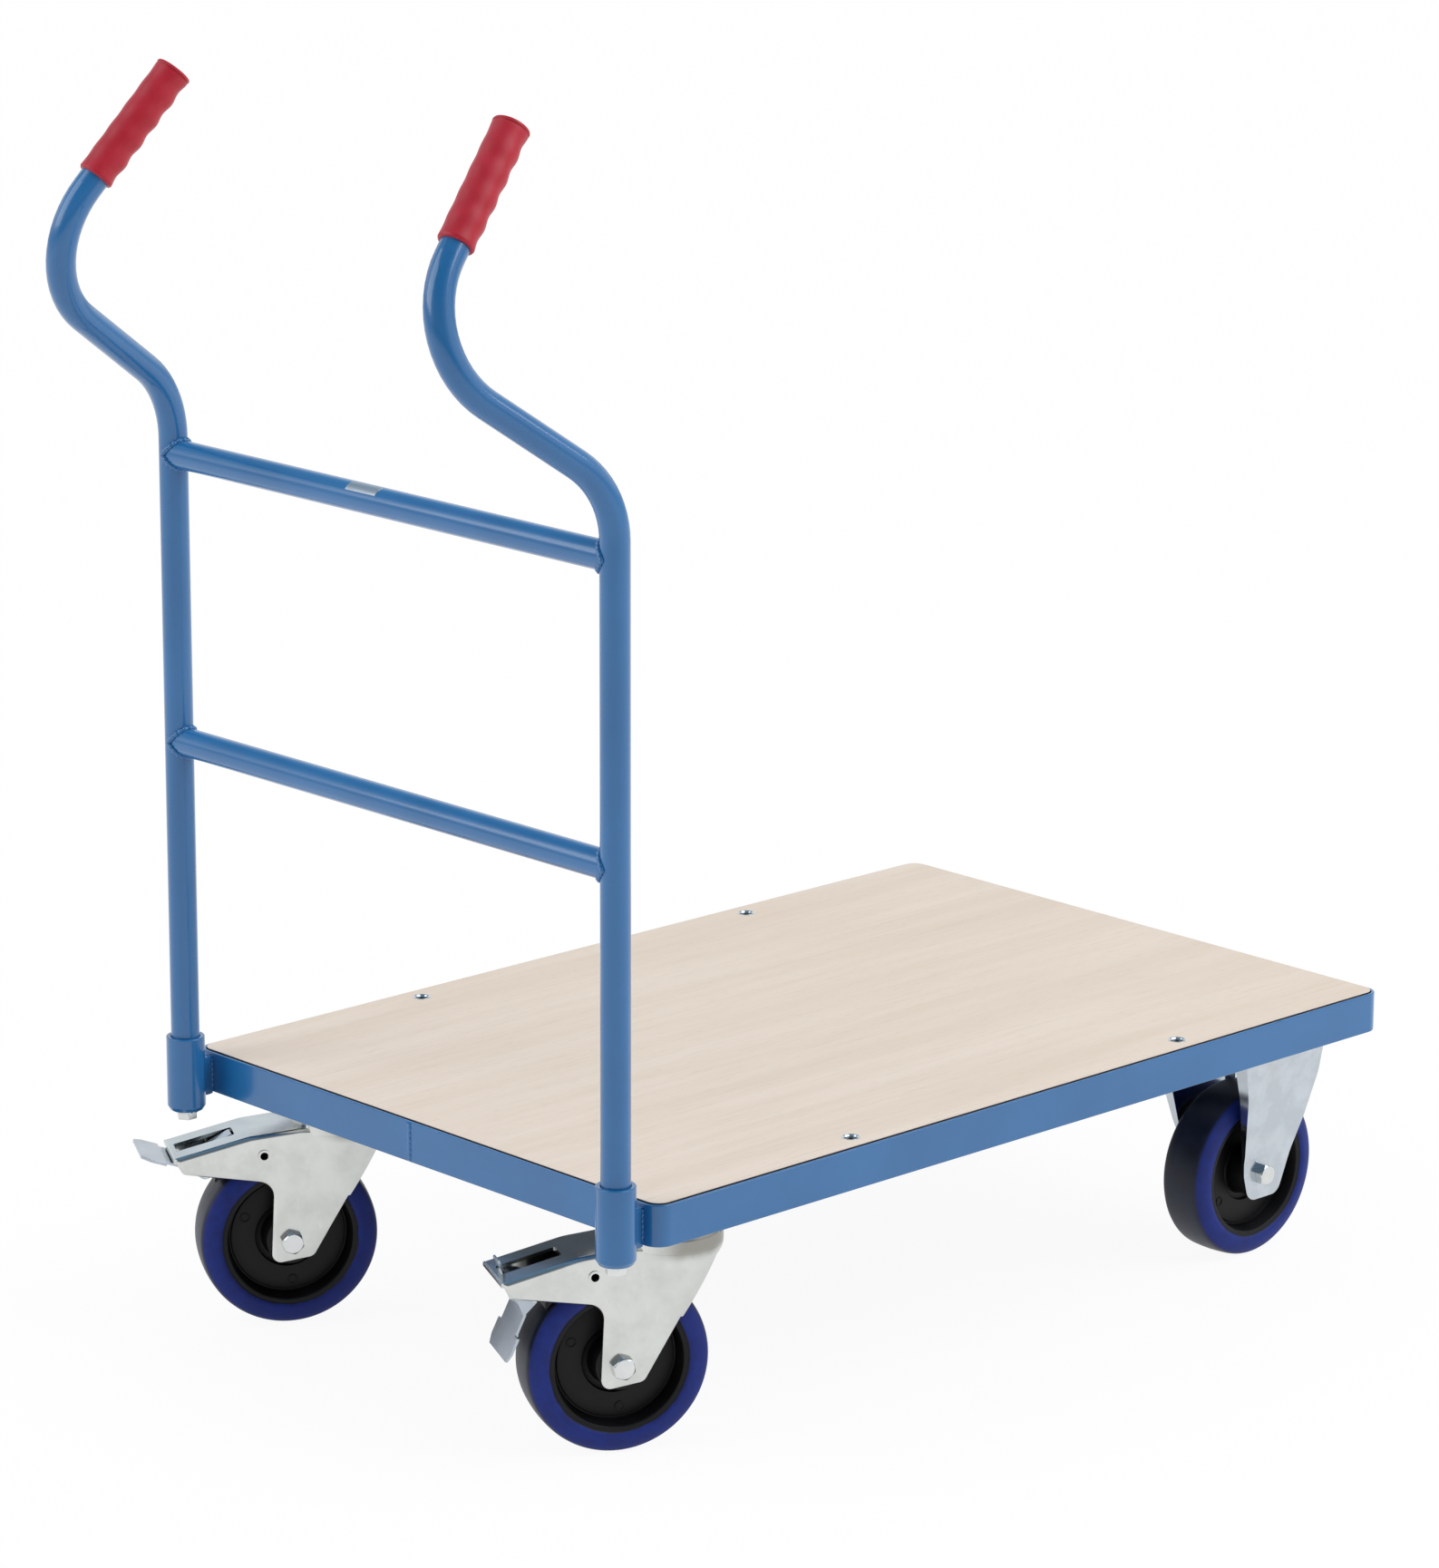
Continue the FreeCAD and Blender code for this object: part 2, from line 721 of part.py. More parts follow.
def tyre(axle_x):
    """Solid rubber tyre: flat tread, sloping sides and a seat on the wheel centre."""
    centre, axis, along = wheel_axis(axle_x)
    seat = wheel_radius - tyre_depth
    shoulder = wheel_radius - tread_crown

    def point(radius, distance):
        return centre + along * radius + axis * distance

    half_tread, half_width, half_seat = tread_width / 2, wheel_width / 2, tyre_seat_width / 2
    side_middle = (shoulder + seat) / 2 + tyre_side_bulge
    side_offset = (half_tread + half_width) / 2 + tyre_side_bulge
    edges = [
        Part.Arc(point(shoulder, -half_tread), point(wheel_radius, 0), point(shoulder, half_tread)).toShape(),
        Part.Arc(point(shoulder, half_tread), point(side_middle, side_offset),
                 point(seat + 4, half_width)).toShape(),
        Part.LineSegment(point(seat + 4, half_width), point(seat, half_seat)).toShape(),
        Part.LineSegment(point(seat, half_seat), point(seat, -half_seat)).toShape(),
        Part.LineSegment(point(seat, -half_seat), point(seat + 4, -half_width)).toShape(),
        Part.Arc(point(seat + 4, -half_width), point(side_middle, -side_offset),
                 point(shoulder, -half_tread)).toShape()]
    return Part.Face(Part.Wire(edges)).revolve(centre, axis, 360)


def hub(axle_x):
    """Moulded wheel centre: lip, deep side recesses, web and bearing boss."""
    centre, axis, along = wheel_axis(axle_x)
    seat = wheel_radius - tyre_depth
    half_seat = tyre_seat_width / 2
    floor = half_seat - recess_depth
    wall = seat - rim_wall
    corners = [(bearing_outer_radius, -hub_half, 0), (bearing_outer_radius, hub_half, 0),
               (boss_radius, hub_half, 1.5), (boss_radius + 1, web_plate_half, 2),
               (web_plate_radius, web_plate_half, 1), (web_plate_radius + 1, floor, 2),
               (wall, floor, 3), (seat - rim_lip, half_seat, 0.8), (seat, half_seat, 0),
               (seat, -half_seat, 0), (seat - rim_lip, -half_seat, 0.8), (wall, -floor, 3),
               (web_plate_radius + 1, -floor, 2), (web_plate_radius, -web_plate_half, 1),
               (boss_radius + 1, -web_plate_half, 2), (boss_radius, -hub_half, 1.5)]
    return spun_rounded(corners, centre, axis, along)


def bearings(axle_x):
    """Two bearings pressed into the boss, one at each end."""
    rings = []
    for low in (-hub_half, hub_half - bearing_length):
        ring = crossbar(bearing_outer_radius, low, low + bearing_length, axle_x, wheel_radius)
        rings.append(ring.cut(crossbar(axle_tube_radius + running_clearance, low - 1, low + bearing_length + 1,
                                       axle_x, wheel_radius)))
    return group(rings)


def axle_tube(axle_x):
    """Spacer tube clamped between the fork legs; the bearings run on it."""
    tube = crossbar(axle_tube_radius, -fork_inside, fork_inside, axle_x, wheel_radius)
    return tube.cut(crossbar(axle_bolt_radius, -fork_outside, fork_outside, axle_x, wheel_radius))


def axle_fasteners(axle_x):
    """Axle bolt, head on the +Y side, and its nut."""
    head_end = fork_outside + axle_bolt_head
    tip = -(fork_outside + axle_nut_height + axle_thread_beyond_nut)
    head = chamfered_head(axle_bolt_across_flats, fork_outside, head_end, axle_x, wheel_radius, 18)
    bolt = head.fuse(crossbar(axle_bolt_radius, tip, fork_outside, axle_x, wheel_radius)).removeSplitter()
    nut = chamfered_head(axle_bolt_across_flats, -fork_outside, -fork_outside - axle_nut_height,
                         axle_x, wheel_radius, 7)
    nut = nut.cut(crossbar(axle_bolt_radius, tip - 1, 0, axle_x, wheel_radius))
    return group([bolt, nut])


# ------------------------------------------------------------------ swivel castor
# Built with its swivel axis on Z and the wheel trailing towards +X.
axle_at = swivel_offset
arm_knee = axle_at + 35.4
arm_knee_top = wheel_diameter + 19.0
head_floor = fork_top + 5.0
race_floor = head_floor + 3.0
ball_seat = race_floor + castor_sheet


def polar(radius, degrees):
    """A point round the axle, in the castor's own X and Z."""
    angle = math.radians(degrees)
    return axle_at + radius * math.cos(angle), wheel_radius + radius * math.sin(angle)


lever_pivot = polar(wheel_radius + lever_pivot_outside_tyre, lever_pivot_deg)


def fork_outline():
    """Side view of the pressed fork: leg, neck and the arm over the wheel."""
    foot = wheel_radius
    return [(arm_end, arm_end_top, 1.5), (arm_knee, arm_knee_top, 60.0), (axle_at - 6, fork_top, 40.0),
            (-39.5, fork_top, 2.0), (axle_at - 20.1, foot - 16.4, 9.0), (axle_at + 18.9, foot - 21.8, 9.0),
            (axle_at + 15.4, wheel_diameter - 26.3, 14.0), (arm_end - 8.0, wheel_diameter - 12.0, 6.0)]


def fork_inside_outline():
    """What is cut out between the fork's sides, up to the underside of its top sheet."""
    sheet = castor_sheet
    slope = (arm_knee_top - arm_end_top) / (arm_end - arm_knee)
    beyond = arm_end + 20
    return [(beyond, arm_end_top - sheet - 20 * slope, 0), (arm_knee, arm_knee_top - sheet, 57.0),
            (axle_at - 6, fork_top - sheet, 37.0), (-90, fork_top - sheet, 0), (-90, 0, 0), (beyond, 0, 0)]


def swivel_fork():
    """Pressed steel fork: two side walls, a top arm with a slot, and the round head."""
    wall = side_prism(fork_outline(), -fork_outside, fork_outside)
    rounds = [edge for edge in wall.Edges
              if abs(abs(edge.CenterOfMass.y) - fork_outside) < 1e-6
              and edge.CenterOfMass.z > wheel_diameter + 2 and edge.CenterOfMass.x > -38]
    wall = wall.makeFillet(4.0, rounds)
    cone_low, cone_high = fork_top - 64.0, fork_top - head_skirt_drop
    cone_small, cone_large = fork_outside, head_radius
    cone = Part.makeCone(cone_small, cone_large, cone_high - cone_low, Vector(0, 0, cone_low))
    bulge = cone.common(side_prism(fork_outline(), -head_radius - 1, head_radius + 1))
    body = wall.fuse(bulge)
    hollow = side_prism(fork_inside_outline(), -fork_inside, fork_inside)
    hollow_cone = Part.makeCone(cone_small - castor_sheet, cone_large - castor_sheet, cone_high - cone_low,
                                Vector(0, 0, cone_low))
    lip = side_prism([(arm_end - castor_sheet, arm_end_top, 0), (arm_end, arm_end_top, 0.8),
                      (arm_end, arm_end_top - arm_end_lip, 0.8),
                      (arm_end - castor_sheet, arm_end_top - arm_end_lip, 0.8)], 2 - fork_outside, fork_outside - 2)
    body = body.cut(hollow).cut(hollow_cone).fuse(lip)
    body = body.cut(upright(cone_large - castor_sheet, cone_high - 0.5, fork_top + 1))
    flare = cone.fuse(upright(cone_large, cone_high, fork_top + 1))
    ahead = flat_prism([(-80, -80, 0), (0, -80, 0), (0, 80, 0), (-80, 80, 0)], bowl_foot, fork_top + 1)
    body = body.cut(ahead.cut(flare))
    slot = rounded_plate(arm_slot_ahead + arm_slot_behind, 2 * arm_slot_half_width, 2.0,
                         wheel_diameter - 2, fork_top + 10,
                         pedal_pivot[0] + (arm_slot_behind - arm_slot_ahead) / 2, 0)
    body = body.cut(slot)
    body = body.cut(crossbar(axle_bolt_radius, -head_radius, head_radius, axle_at, wheel_radius))
    body = body.cut(crossbar(rivet_radius, -head_radius, head_radius, *rivet_place))
    return body.fuse(fork_head()).removeSplitter()


rivet_place = (axle_at + rivet_ahead_of_axle, wheel_diameter + 1.0)


bowl_foot = fork_top - 20.2


def bowl_profile(inset):
    """Lower edge of the round head from its foot outward and up, drawn in by an inset."""
    turn = math.radians(58)
    reach = 0.58 * head_bowl_round
    corner = bowl_foot + reach * math.cos(turn)
    outer = head_radius
    return [(outer - reach * math.sin(turn) - inset * math.cos(turn), bowl_foot + inset * math.sin(turn), 0),
            (outer - inset, corner + inset * math.tan(turn / 2), head_bowl_round - inset)]


def fork_head():
    """Round pressed head with the lower ball track; in front it turns in as a bowl between the legs."""
    inner = kingpin_radius + running_clearance
    outer = head_radius
    lip = plate_underside - 2.0
    corners = [(inner, head_floor, 0), (22.0, head_floor, 1), (24.0, race_floor, 1),
               (outer - 9.5, race_floor, 2), (outer - castor_sheet, race_floor - 6, 3)]
    corners += bowl_profile(castor_sheet)[::-1] + bowl_profile(0)
    corners += [(outer, race_floor - 2, 6), (outer - 6, lip, 1), (outer - 9, lip, 1),
                (outer - 11, ball_seat, 1.5), (23.0, ball_seat, 1), (21.0, head_floor + castor_sheet, 1),
                (inner, head_floor + castor_sheet, 0)]
    head = spun_rounded(corners, Vector(0, 0, 0), Vector(0, 0, 1), Vector(1, 0, 0))
    return head.cut(flat_prism([(-22, -80, 0), (80, -80, 0), (80, 80, 0), (-22, 80, 0)],
                               bowl_foot - 1, fork_top - head_skirt_drop))


def swivel_plate():
    """Bolt-on plate with the upper ball track pressed out of it."""
    plate = rounded_plate(plate_along, plate_across, plate_corner, plate_underside, deck_underside)
    for place in castor_bolt_places(0, 0):
        plate = plate.cut(upright(castor_bolt_radius + castor_hole_clearance, plate_underside - 1,
                                  deck_underside + 1, *place))
    track_low = ball_seat + 2 * ball_radius + moving_gap
    track = upright(ball_circle_radius + 5, track_low, plate_underside)
    track = track.cut(upright(ball_circle_radius - 6, track_low - 1, plate_underside))
    return plate.fuse(track).cut(upright(kingpin_radius, track_low - 1, deck_underside + 1)).removeSplitter()


def kingpin():
    """Rivet that holds the fork's head up under the plate."""
    collar_top = head_floor - moving_gap
    collar_low = collar_top - 4.7
    ring_low = collar_low - 5.0
    pin = upright(kingpin_radius, ring_low, deck_underside)
    collar = upright(kingpin_collar_radius, collar_low, collar_top)
    head = upright(kingpin_collar_radius - 2, ring_low - 3.0, ring_low)
    return pin.fuse(collar).fuse(head).removeSplitter()


def lock_ring():
    """Toothed disc on the kingpin for the brake lever's nose."""
    high = head_floor - moving_gap - 4.7
    low = high - 5.0
    ring = upright(lock_ring_radius, low, high).cut(upright(kingpin_radius, low - 1, high + 1))
    for index in range(lock_ring_teeth):
        angle = math.radians(360.0 * index / lock_ring_teeth)
        radius = lock_ring_radius
        notch = upright(1.8, low - 1, high - 1.5, radius * math.cos(angle), radius * math.sin(angle))
        ring = ring.cut(notch)
    return ring


def swivel_balls():
    """Ring of steel balls between the two tracks."""
    balls = []
    for index in range(ball_count):
        angle = math.radians(360.0 * index / ball_count)
        centre = Vector(ball_circle_radius * math.cos(angle), ball_circle_radius * math.sin(angle),
                        ball_seat + ball_radius)
        balls.append(Part.makeSphere(ball_radius, centre))
    return group(balls)


def brake_pins():
    """Pedal pin and lever pin between the fork's sides, and the two hollow side rivets."""
    pins = [crossbar(pedal_pin_radius, -fork_inside, fork_inside, *pedal_pivot),
            crossbar(lever_pin_radius, -fork_inside, fork_inside, *lever_pivot)]
    for side in (-1, 1):
        inner, face = side * (fork_inside - 1.5), side * fork_outside
        end = side * (fork_outside + rivet_flange)
        rivet = crossbar(rivet_radius, min(inner, face), max(inner, face), *rivet_place)
        flange = crossbar(rivet_flange_radius, min(face, end), max(face, end), *rivet_place)
        rivet = rivet.fuse(flange).cut(crossbar(rivet_bore, -head_radius, head_radius, *rivet_place))
        pins.append(rivet.removeSplitter())
    return group(pins)


def strip(points, sheet, width):
    """Bent sheet strip: points are its middle line in X and Z, width runs along Y."""
    solid = None
    for start, stop in zip(points, points[1:]):
        run = Vector(stop[0] - start[0], 0, stop[1] - start[1])
        away = unit(Vector(-run.z, 0, run.x)) * (sheet / 2)
        a, b = Vector(start[0], -width / 2, start[1]), Vector(stop[0], -width / 2, stop[1])
        face = Part.Face(Part.makePolygon([a + away, b + away, b - away, a - away, a + away]))
        leaf = face.extrude(Vector(0, width, 0))
        solid = leaf if solid is None else solid.fuse(leaf)
        if stop != points[-1]:
            solid = solid.fuse(crossbar(sheet / 2, -width / 2, width / 2, *stop))
    return solid


def brake_pedal():
    """Rocking pedal, shown trodden down: flap below the arm, tab up through its slot."""
    px, pz = pedal_pivot

    def between(start, stop, share):
        return tuple(a + (b - a) * share for a, b in zip(start, stop))

    flap_tip = (px + pedal_flap_behind_pin, pz - pedal_flap_below_pin)
    root = (px + pedal_blade_behind_pin, pz - pedal_blade_below_pin)
    tab_tip = (px + pedal_tab_behind_pin, pz + pedal_tab_above_pin)
    flap_start = between(flap_tip, root, 0.55)
    tab_start = between(root, tab_tip, 0.53)
    flap = strip([flap_tip, flap_start], pedal_sheet, pedal_flap_width)
    edge = pedal_flap_width / 2
    low = flap_tip[1] - pedal_sheet
    for side in (-1, 1):
        corner = [(side * (edge - pedal_flap_corner), low, 0), (side * (edge + 1), low, 0),
                  (side * (edge + 1), flap_tip[1] + 1.5 * pedal_flap_corner, 0)]
        flap = flap.cut(end_prism(corner, px, px + wheel_radius))
    blade = strip([flap_start, root, tab_start], pedal_sheet, pedal_inner_width)
    tab = strip([tab_start, tab_tip], pedal_sheet, pedal_tab_width)
    tab = tab.fuse(crossbar(pedal_sheet / 2, -pedal_tab_width / 2, pedal_tab_width / 2, *tab_tip))
    pedal = flap.fuse(blade).fuse(tab)
    outer, inner = pedal_inner_width / 2, pedal_inner_width / 2 - pedal_sheet
    ear = [(px - 6.0, pz + 2.0, 3), (px - 3.5, pz - 6.2, 5), (*root, 0), (*tab_start, 0), (px + 3.0, pz + 7.0, 4)]
    for low, high in ((-outer, -inner), (inner, outer)):
        pedal = pedal.fuse(side_prism(ear, low, high)).fuse(crossbar(pedal_ear_radius, low, high, px, pz))
    bore = crossbar(pedal_pin_radius + running_clearance, -outer - 1, outer + 1, px, pz)
    return pedal.cut(bore).removeSplitter()


def brake_lever():
    """Brake lever, shown on: pad against the tread behind, nose under the lock ring in front."""
    x, z = lever_pivot
    half = lever_width / 2
    pad = side_prism([(x - 5, z - 5, 2), (x + 29, z - 35, 1), (x + 29.5, z - 8, 3), (x + 6, z + 5.5, 4),
                      (x - 5, z + 5.5, 3)], -half, half)
    pad = pad.cut(crossbar(wheel_radius + lever_tyre_gap, -half - 1, half + 1, axle_at, wheel_radius))
    boss = crossbar(lever_boss_radius, -half, half, x, z)
    nose = side_prism([(x + 2, z - 2, 0), (x + 2, z + 4.5, 0), (27.0, z + 8.0, 2), (25.0, z + 11.0, 1),
                       (25.0, z + 3.5, 1), (x - 30, z - 1.0, 10)], -lever_nose_width / 2, lever_nose_width / 2)
    bore = crossbar(lever_pin_radius + running_clearance, -half - 1, half + 1, x, z)
    return pad.fuse(boss).fuse(nose).cut(bore).removeSplitter()


def turned_about(shape, pivot, degrees):
    """Copy of a piece turned about a pivot that runs along Y; positive lifts its trailing end."""
    copy = shape.copy()
    copy.rotate(Vector(pivot[0], 0, pivot[1]), Vector(0, 1, 0), -degrees)
    return copy


# ------------------------------------------------------------------ fixed castor
# Built with its axle over the origin and its plate along X.
def fixed_leg_outline(side, inset):
    """Side view of one leg of a fixed castor, drawn in from its edge; the two legs belly out opposite ways."""
    foot = wheel_radius - fixed_leg_below_axle + inset
    corner = fixed_leg_foot_round - inset
    waist_rear, waist_front = inset - fixed_leg_waist_rear, fixed_leg_waist_front - inset
    top_rear, top_front = inset - fixed_leg_top_rear, fixed_leg_top_front - inset
    corners = [(inset - fixed_leg_foot_rear, foot, corner), (fixed_leg_foot_front - inset, foot, corner),
               (waist_front, wheel_radius + 13, 60.0), (top_front - 9, wheel_radius + 47, 60.0),
               (top_front, plate_underside - 37, 40.0), (top_front, plate_underside + inset, 0),
               (top_rear, plate_underside + inset, 0), (top_rear + 15, plate_underside - 49, 60.0),
               (waist_rear - 0.5, wheel_radius + 20, 60.0), (waist_rear, wheel_radius + 2, 20.0)]
    return [(-side * x, z, radius) for x, z, radius in corners]


def fixed_fork():
    """Pressed plate with two legs that splay out from the axle, their long edges turned in."""
    plate = rounded_plate(plate_along, plate_across, plate_corner, plate_underside, deck_underside)
    for place in castor_bolt_places(0, 0):
        plate = plate.cut(upright(castor_bolt_radius + castor_hole_clearance, plate_underside - 1,
                                  deck_underside + 1, *place))
    foot = wheel_radius - fixed_leg_below_axle - 5
    knee = wheel_radius + 14.0
    inner, outer = fork_inside, fork_outside
    top_inner, top_outer = inner + fixed_leg_splay, outer + fixed_leg_splay
    top_edge = top_inner - fixed_leg_turned_edge
    reach = fixed_leg_top_front + 1
    legs = None
    for side in (-1, 1):
        block = [(side * inner, foot, 0), (side * inner, knee, 30.0), (side * top_edge, plate_underside, 0),
                 (side * top_outer, plate_underside, 0), (side * outer, knee, 33.0), (side * outer, foot, 0)]
        leg = end_prism(block, -reach, reach).common(side_prism(fixed_leg_outline(side, 0), -plate_across, plate_across))
        well = [(0, foot, 0), (0, plate_underside, 0), (side * top_inner, plate_underside, 0),
                (side * inner, knee, 30.0), (side * inner, foot, 0)]
        hollow = end_prism(well, -reach, reach)
        hollow = hollow.common(side_prism(fixed_leg_outline(side, castor_sheet), -plate_across, plate_across))
        leg = leg.cut(hollow)
        legs = leg if legs is None else legs.fuse(leg)
    relief = castor_bolt_across_flats + 2 * castor_hole_clearance
    for place in castor_bolt_places(0, 0):
        legs = legs.cut(hexagon(relief, plate_underside - castor_bolt_head - 2, plate_underside, *place))
    fork = plate.fuse(legs)
    return fork.cut(crossbar(axle_bolt_radius, -plate_across, plate_across, 0, wheel_radius)).removeSplitter()


# ------------------------------------------------------------------ write every node
def write_frame():
    export("frame_rim", frame_rim())
    export("frame_seam", frame_seam())
    export("cross_member_rear", cross_member(rear_member_from_rear))
    export("cross_member_front", cross_member(front_member_from_rear))
    export("castor_pads", group([castor_pad(*place) for place in CASTORS]))
    export("deck_board", deck_board())
    export("deck_screws", group([board_screw(*place) for place in ALL_SCREWS]))
    export("deck_cup_washers", group([cup_washer(*place) for place in ALL_SCREWS]))
    export("deck_nuts", group([board_nut(*place) for place in ALL_SCREWS]))
    bolts = [place for castor in CASTORS for place in castor_bolt_places(*castor)]
    export("castor_bolts", group([castor_bolt(*place) for place in bolts]))
    export("castor_nuts", group([castor_nut(*place) for place in bolts]))


def write_handle():
    lower = deck_top + lower_rail_above_deck
    upper = deck_top + upper_rail_above_deck
    for name, side in SIDES.items():
        export("socket_" + name, socket(side))
        export("handle_post_" + name, handle_post(side))
        export("grip_" + name, hand_grip(side))
    both = list(SIDES.values())
    export("socket_webs", group([socket_web(side) for side in both]))
    export("handle_plugs", group([handle_plug(side) for side in both]))
    export("handle_bolts", group([handle_bolt(side) for side in both]))
    export("handle_washers", group([handle_washer(side) for side in both]))
    export("rail_lower", handle_rail(lower))
    export("rail_upper", handle_rail(upper))
    export("rail_welds", group([rail_weld(height, side) for height in (lower, upper) for side in both]))
    export("blank_plate", blank_plate())


def write_swivel_castors():
    pieces = {"fork": swivel_fork(), "swivel_plate": swivel_plate(), "swivel_balls": swivel_balls(),
              "brake_pins": brake_pins(), "axle_fasteners": axle_fasteners(axle_at),
              "axle_tube": axle_tube(axle_at), "tyre": tyre(axle_at), "hub": hub(axle_at),
              "bearings": bearings(axle_at)}
    pedal_down, lever_on = brake_pedal(), brake_lever()
    pedals = {"right": pedal_down, "left": turned_about(pedal_down, pedal_pivot, pedal_swing_deg)}
    levers = {"right": lever_on, "left": turned_about(lever_on, lever_pivot, lever_swing_deg)}
    trails = {"right": right_trail_deg, "left": left_trail_deg}
    for name, side in SIDES.items():
        place = (swivel_x, side * castor_side)
        for piece, shape in pieces.items():
            turn = 0 if piece == "swivel_plate" else trails[name]
            export(piece + "_rear_" + name, placed(shape, *place, turn))
        export("brake_pedal_" + name, placed(pedals[name], *place, trails[name]))
        export("brake_lever_" + name, placed(levers[name], *place, trails[name]))
    places = [(swivel_x, side * castor_side, 0) for side in SIDES.values()]
    export("kingpins", group([placed(kingpin(), *place) for place in places]))
    export("lock_rings", group([placed(lock_ring(), *place) for place in places]))


def write_fixed_castors():
    fork, bolt, tube = fixed_fork(), axle_fasteners(0), axle_tube(0)
    wheel = {"tyre": tyre(0), "hub": hub(0), "bearings": bearings(0)}
    turns = {"right": 180, "left": 0}
    bolts, tubes = [], []
    for name, side in SIDES.items():
        place = (fixed_x, side * castor_side, turns[name])
        export("fork_front_" + name, placed(fork, *place))
        for piece, shape in wheel.items():
            export(piece + "_front_" + name, placed(shape, *place))
        bolts.append(placed(bolt, *place))
        tubes.append(placed(tube, *place))
    export("axle_fasteners_front", group([solid for pair in bolts for solid in pair.Solids]))
    export("axle_tubes_front", group(tubes))


os.makedirs("parts", exist_ok=True)
write_frame()
write_handle()
write_swivel_castors()
write_fixed_castors()
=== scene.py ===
import json
import math

import bmesh
import bpy
from mathutils import Matrix, Vector

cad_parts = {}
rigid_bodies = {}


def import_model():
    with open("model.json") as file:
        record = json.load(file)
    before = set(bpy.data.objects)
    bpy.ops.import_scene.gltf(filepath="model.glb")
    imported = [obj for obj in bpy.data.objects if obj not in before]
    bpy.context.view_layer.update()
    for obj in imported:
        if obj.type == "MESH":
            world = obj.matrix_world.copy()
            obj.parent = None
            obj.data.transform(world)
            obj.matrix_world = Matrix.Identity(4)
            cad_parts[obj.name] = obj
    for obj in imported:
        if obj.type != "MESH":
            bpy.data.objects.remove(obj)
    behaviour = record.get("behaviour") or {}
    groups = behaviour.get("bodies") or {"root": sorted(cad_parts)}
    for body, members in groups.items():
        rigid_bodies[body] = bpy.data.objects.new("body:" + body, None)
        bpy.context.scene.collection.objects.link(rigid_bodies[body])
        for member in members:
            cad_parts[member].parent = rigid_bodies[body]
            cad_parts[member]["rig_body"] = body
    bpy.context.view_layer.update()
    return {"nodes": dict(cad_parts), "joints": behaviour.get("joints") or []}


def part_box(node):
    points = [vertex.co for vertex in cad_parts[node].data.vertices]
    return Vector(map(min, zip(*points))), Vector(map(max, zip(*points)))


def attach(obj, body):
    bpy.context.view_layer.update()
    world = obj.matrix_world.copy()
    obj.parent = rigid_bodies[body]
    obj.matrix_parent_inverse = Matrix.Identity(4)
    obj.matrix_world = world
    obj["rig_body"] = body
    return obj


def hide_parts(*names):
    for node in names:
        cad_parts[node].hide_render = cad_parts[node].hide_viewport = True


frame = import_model()


# ---------------------------------------------------------------- deck frame
# The rim is a steel angle bent round four corners, with its foot turned inwards and its two
# ends butt-welded behind. Two inverted channels and four castor pads are welded into it, then
# the whole frame is powder-coated in one satin blue.
class Wire:
    """One output in a finish's node tree; sums on it add their own Math nodes."""

    def __init__(self, tree, output=None):
        self.tree = tree
        self.output = output

    def node(self, kind, sockets=(), output=0, **settings):
        """Adds a node: its settings first, then what its sockets get."""
        made = self.tree.nodes.new("ShaderNode" + kind)
        for setting, value in settings.items():
            setattr(made, setting, value)
        for socket, value in dict(sockets).items():
            if isinstance(value, Wire):
                self.tree.links.new(value.output, made.inputs[socket])
            else:
                made.inputs[socket].default_value = value
        return Wire(self.tree, made.outputs[output])

    def sum(self, operation, *values):
        return self.node("Math", enumerate(values), operation=operation)

    def __add__(self, other):
        return self.sum("ADD", self, other)

    def __radd__(self, other):
        return self.sum("ADD", other, self)

    def __sub__(self, other):
        return self.sum("SUBTRACT", self, other)

    def __rsub__(self, other):
        return self.sum("SUBTRACT", other, self)

    def __mul__(self, other):
        return self.sum("MULTIPLY", self, other)

    def __rmul__(self, other):
        return self.sum("MULTIPLY", other, self)

    def between(self, low, high):
        """0 at low and 1 at high, held beyond them and eased between; either may be larger."""
        return self.node("MapRange", {"Value": self, "From Min": low, "From Max": high},
                         interpolation_type="SMOOTHSTEP")

    def mixed(self, factor, first, second):
        """The first colour where the factor is 0, the second where it is 1."""
        return self.node("Mix", {0: factor, 6: first, 7: second}, output=2, data_type="RGBA")


class Finish(Wire):
    """A surface finish: one shader, with what is the same all over set on its own sockets."""

    def __init__(self, name, **fixed):
        self.material = bpy.data.materials.new(name)
        self.material.use_nodes = True
        super().__init__(self.material.node_tree)
        self.shader = self.tree.nodes["Principled BSDF"]
        for socket, value in fixed.items():
            self.shader.inputs[socket.replace("_", " ")].default_value = value
        self.place = self.node("TexCoord", output="Object")

    def noise(self, per_metre, detail=2.0, stretch=(1, 1, 1), roughness=0.5):
        """Cloudy values round 0.5; per_metre is how many clouds fit in a metre."""
        where = self.node("Mapping", {"Vector": self.place, "Scale": stretch})
        return self.node("TexNoise", {"Vector": where, "Scale": per_metre, "Detail": detail,
                                      "Roughness": roughness})

    def along(self, axis):
        """How far along X, Y or Z (0, 1 or 2) a point of the piece lies, in metres."""
        return self.node("SeparateXYZ", {"Vector": self.place}, output=axis)

    def feed(self, socket, wire):
        self.tree.links.new(wire.output, self.shader.inputs[socket])

    def fed(self, socket):
        """What feeds one of the shader's sockets so far."""
        return Wire(self.tree, self.shader.inputs[socket].links[0].from_socket)

    def relief(self, height, distance, strength):
        """Height from 0 to 1 stands for this many metres of surface relief."""
        self.feed("Normal", self.node("Bump", {"Height": height, "Distance": distance,
                                               "Strength": strength}))

    def on(self, piece):
        """Makes this the only finish of a piece."""
        piece.data.materials.clear()
        piece.data.materials.append(self.material)


def shade(red, green, blue):
    """A colour from its 0 to 255 screen values."""
    def linear(value):
        value /= 255
        return value / 12.92 if value <= 0.04045 else ((value + 0.055) / 1.055) ** 2.4
    return (linear(red), linear(green), linear(blue), 1.0)


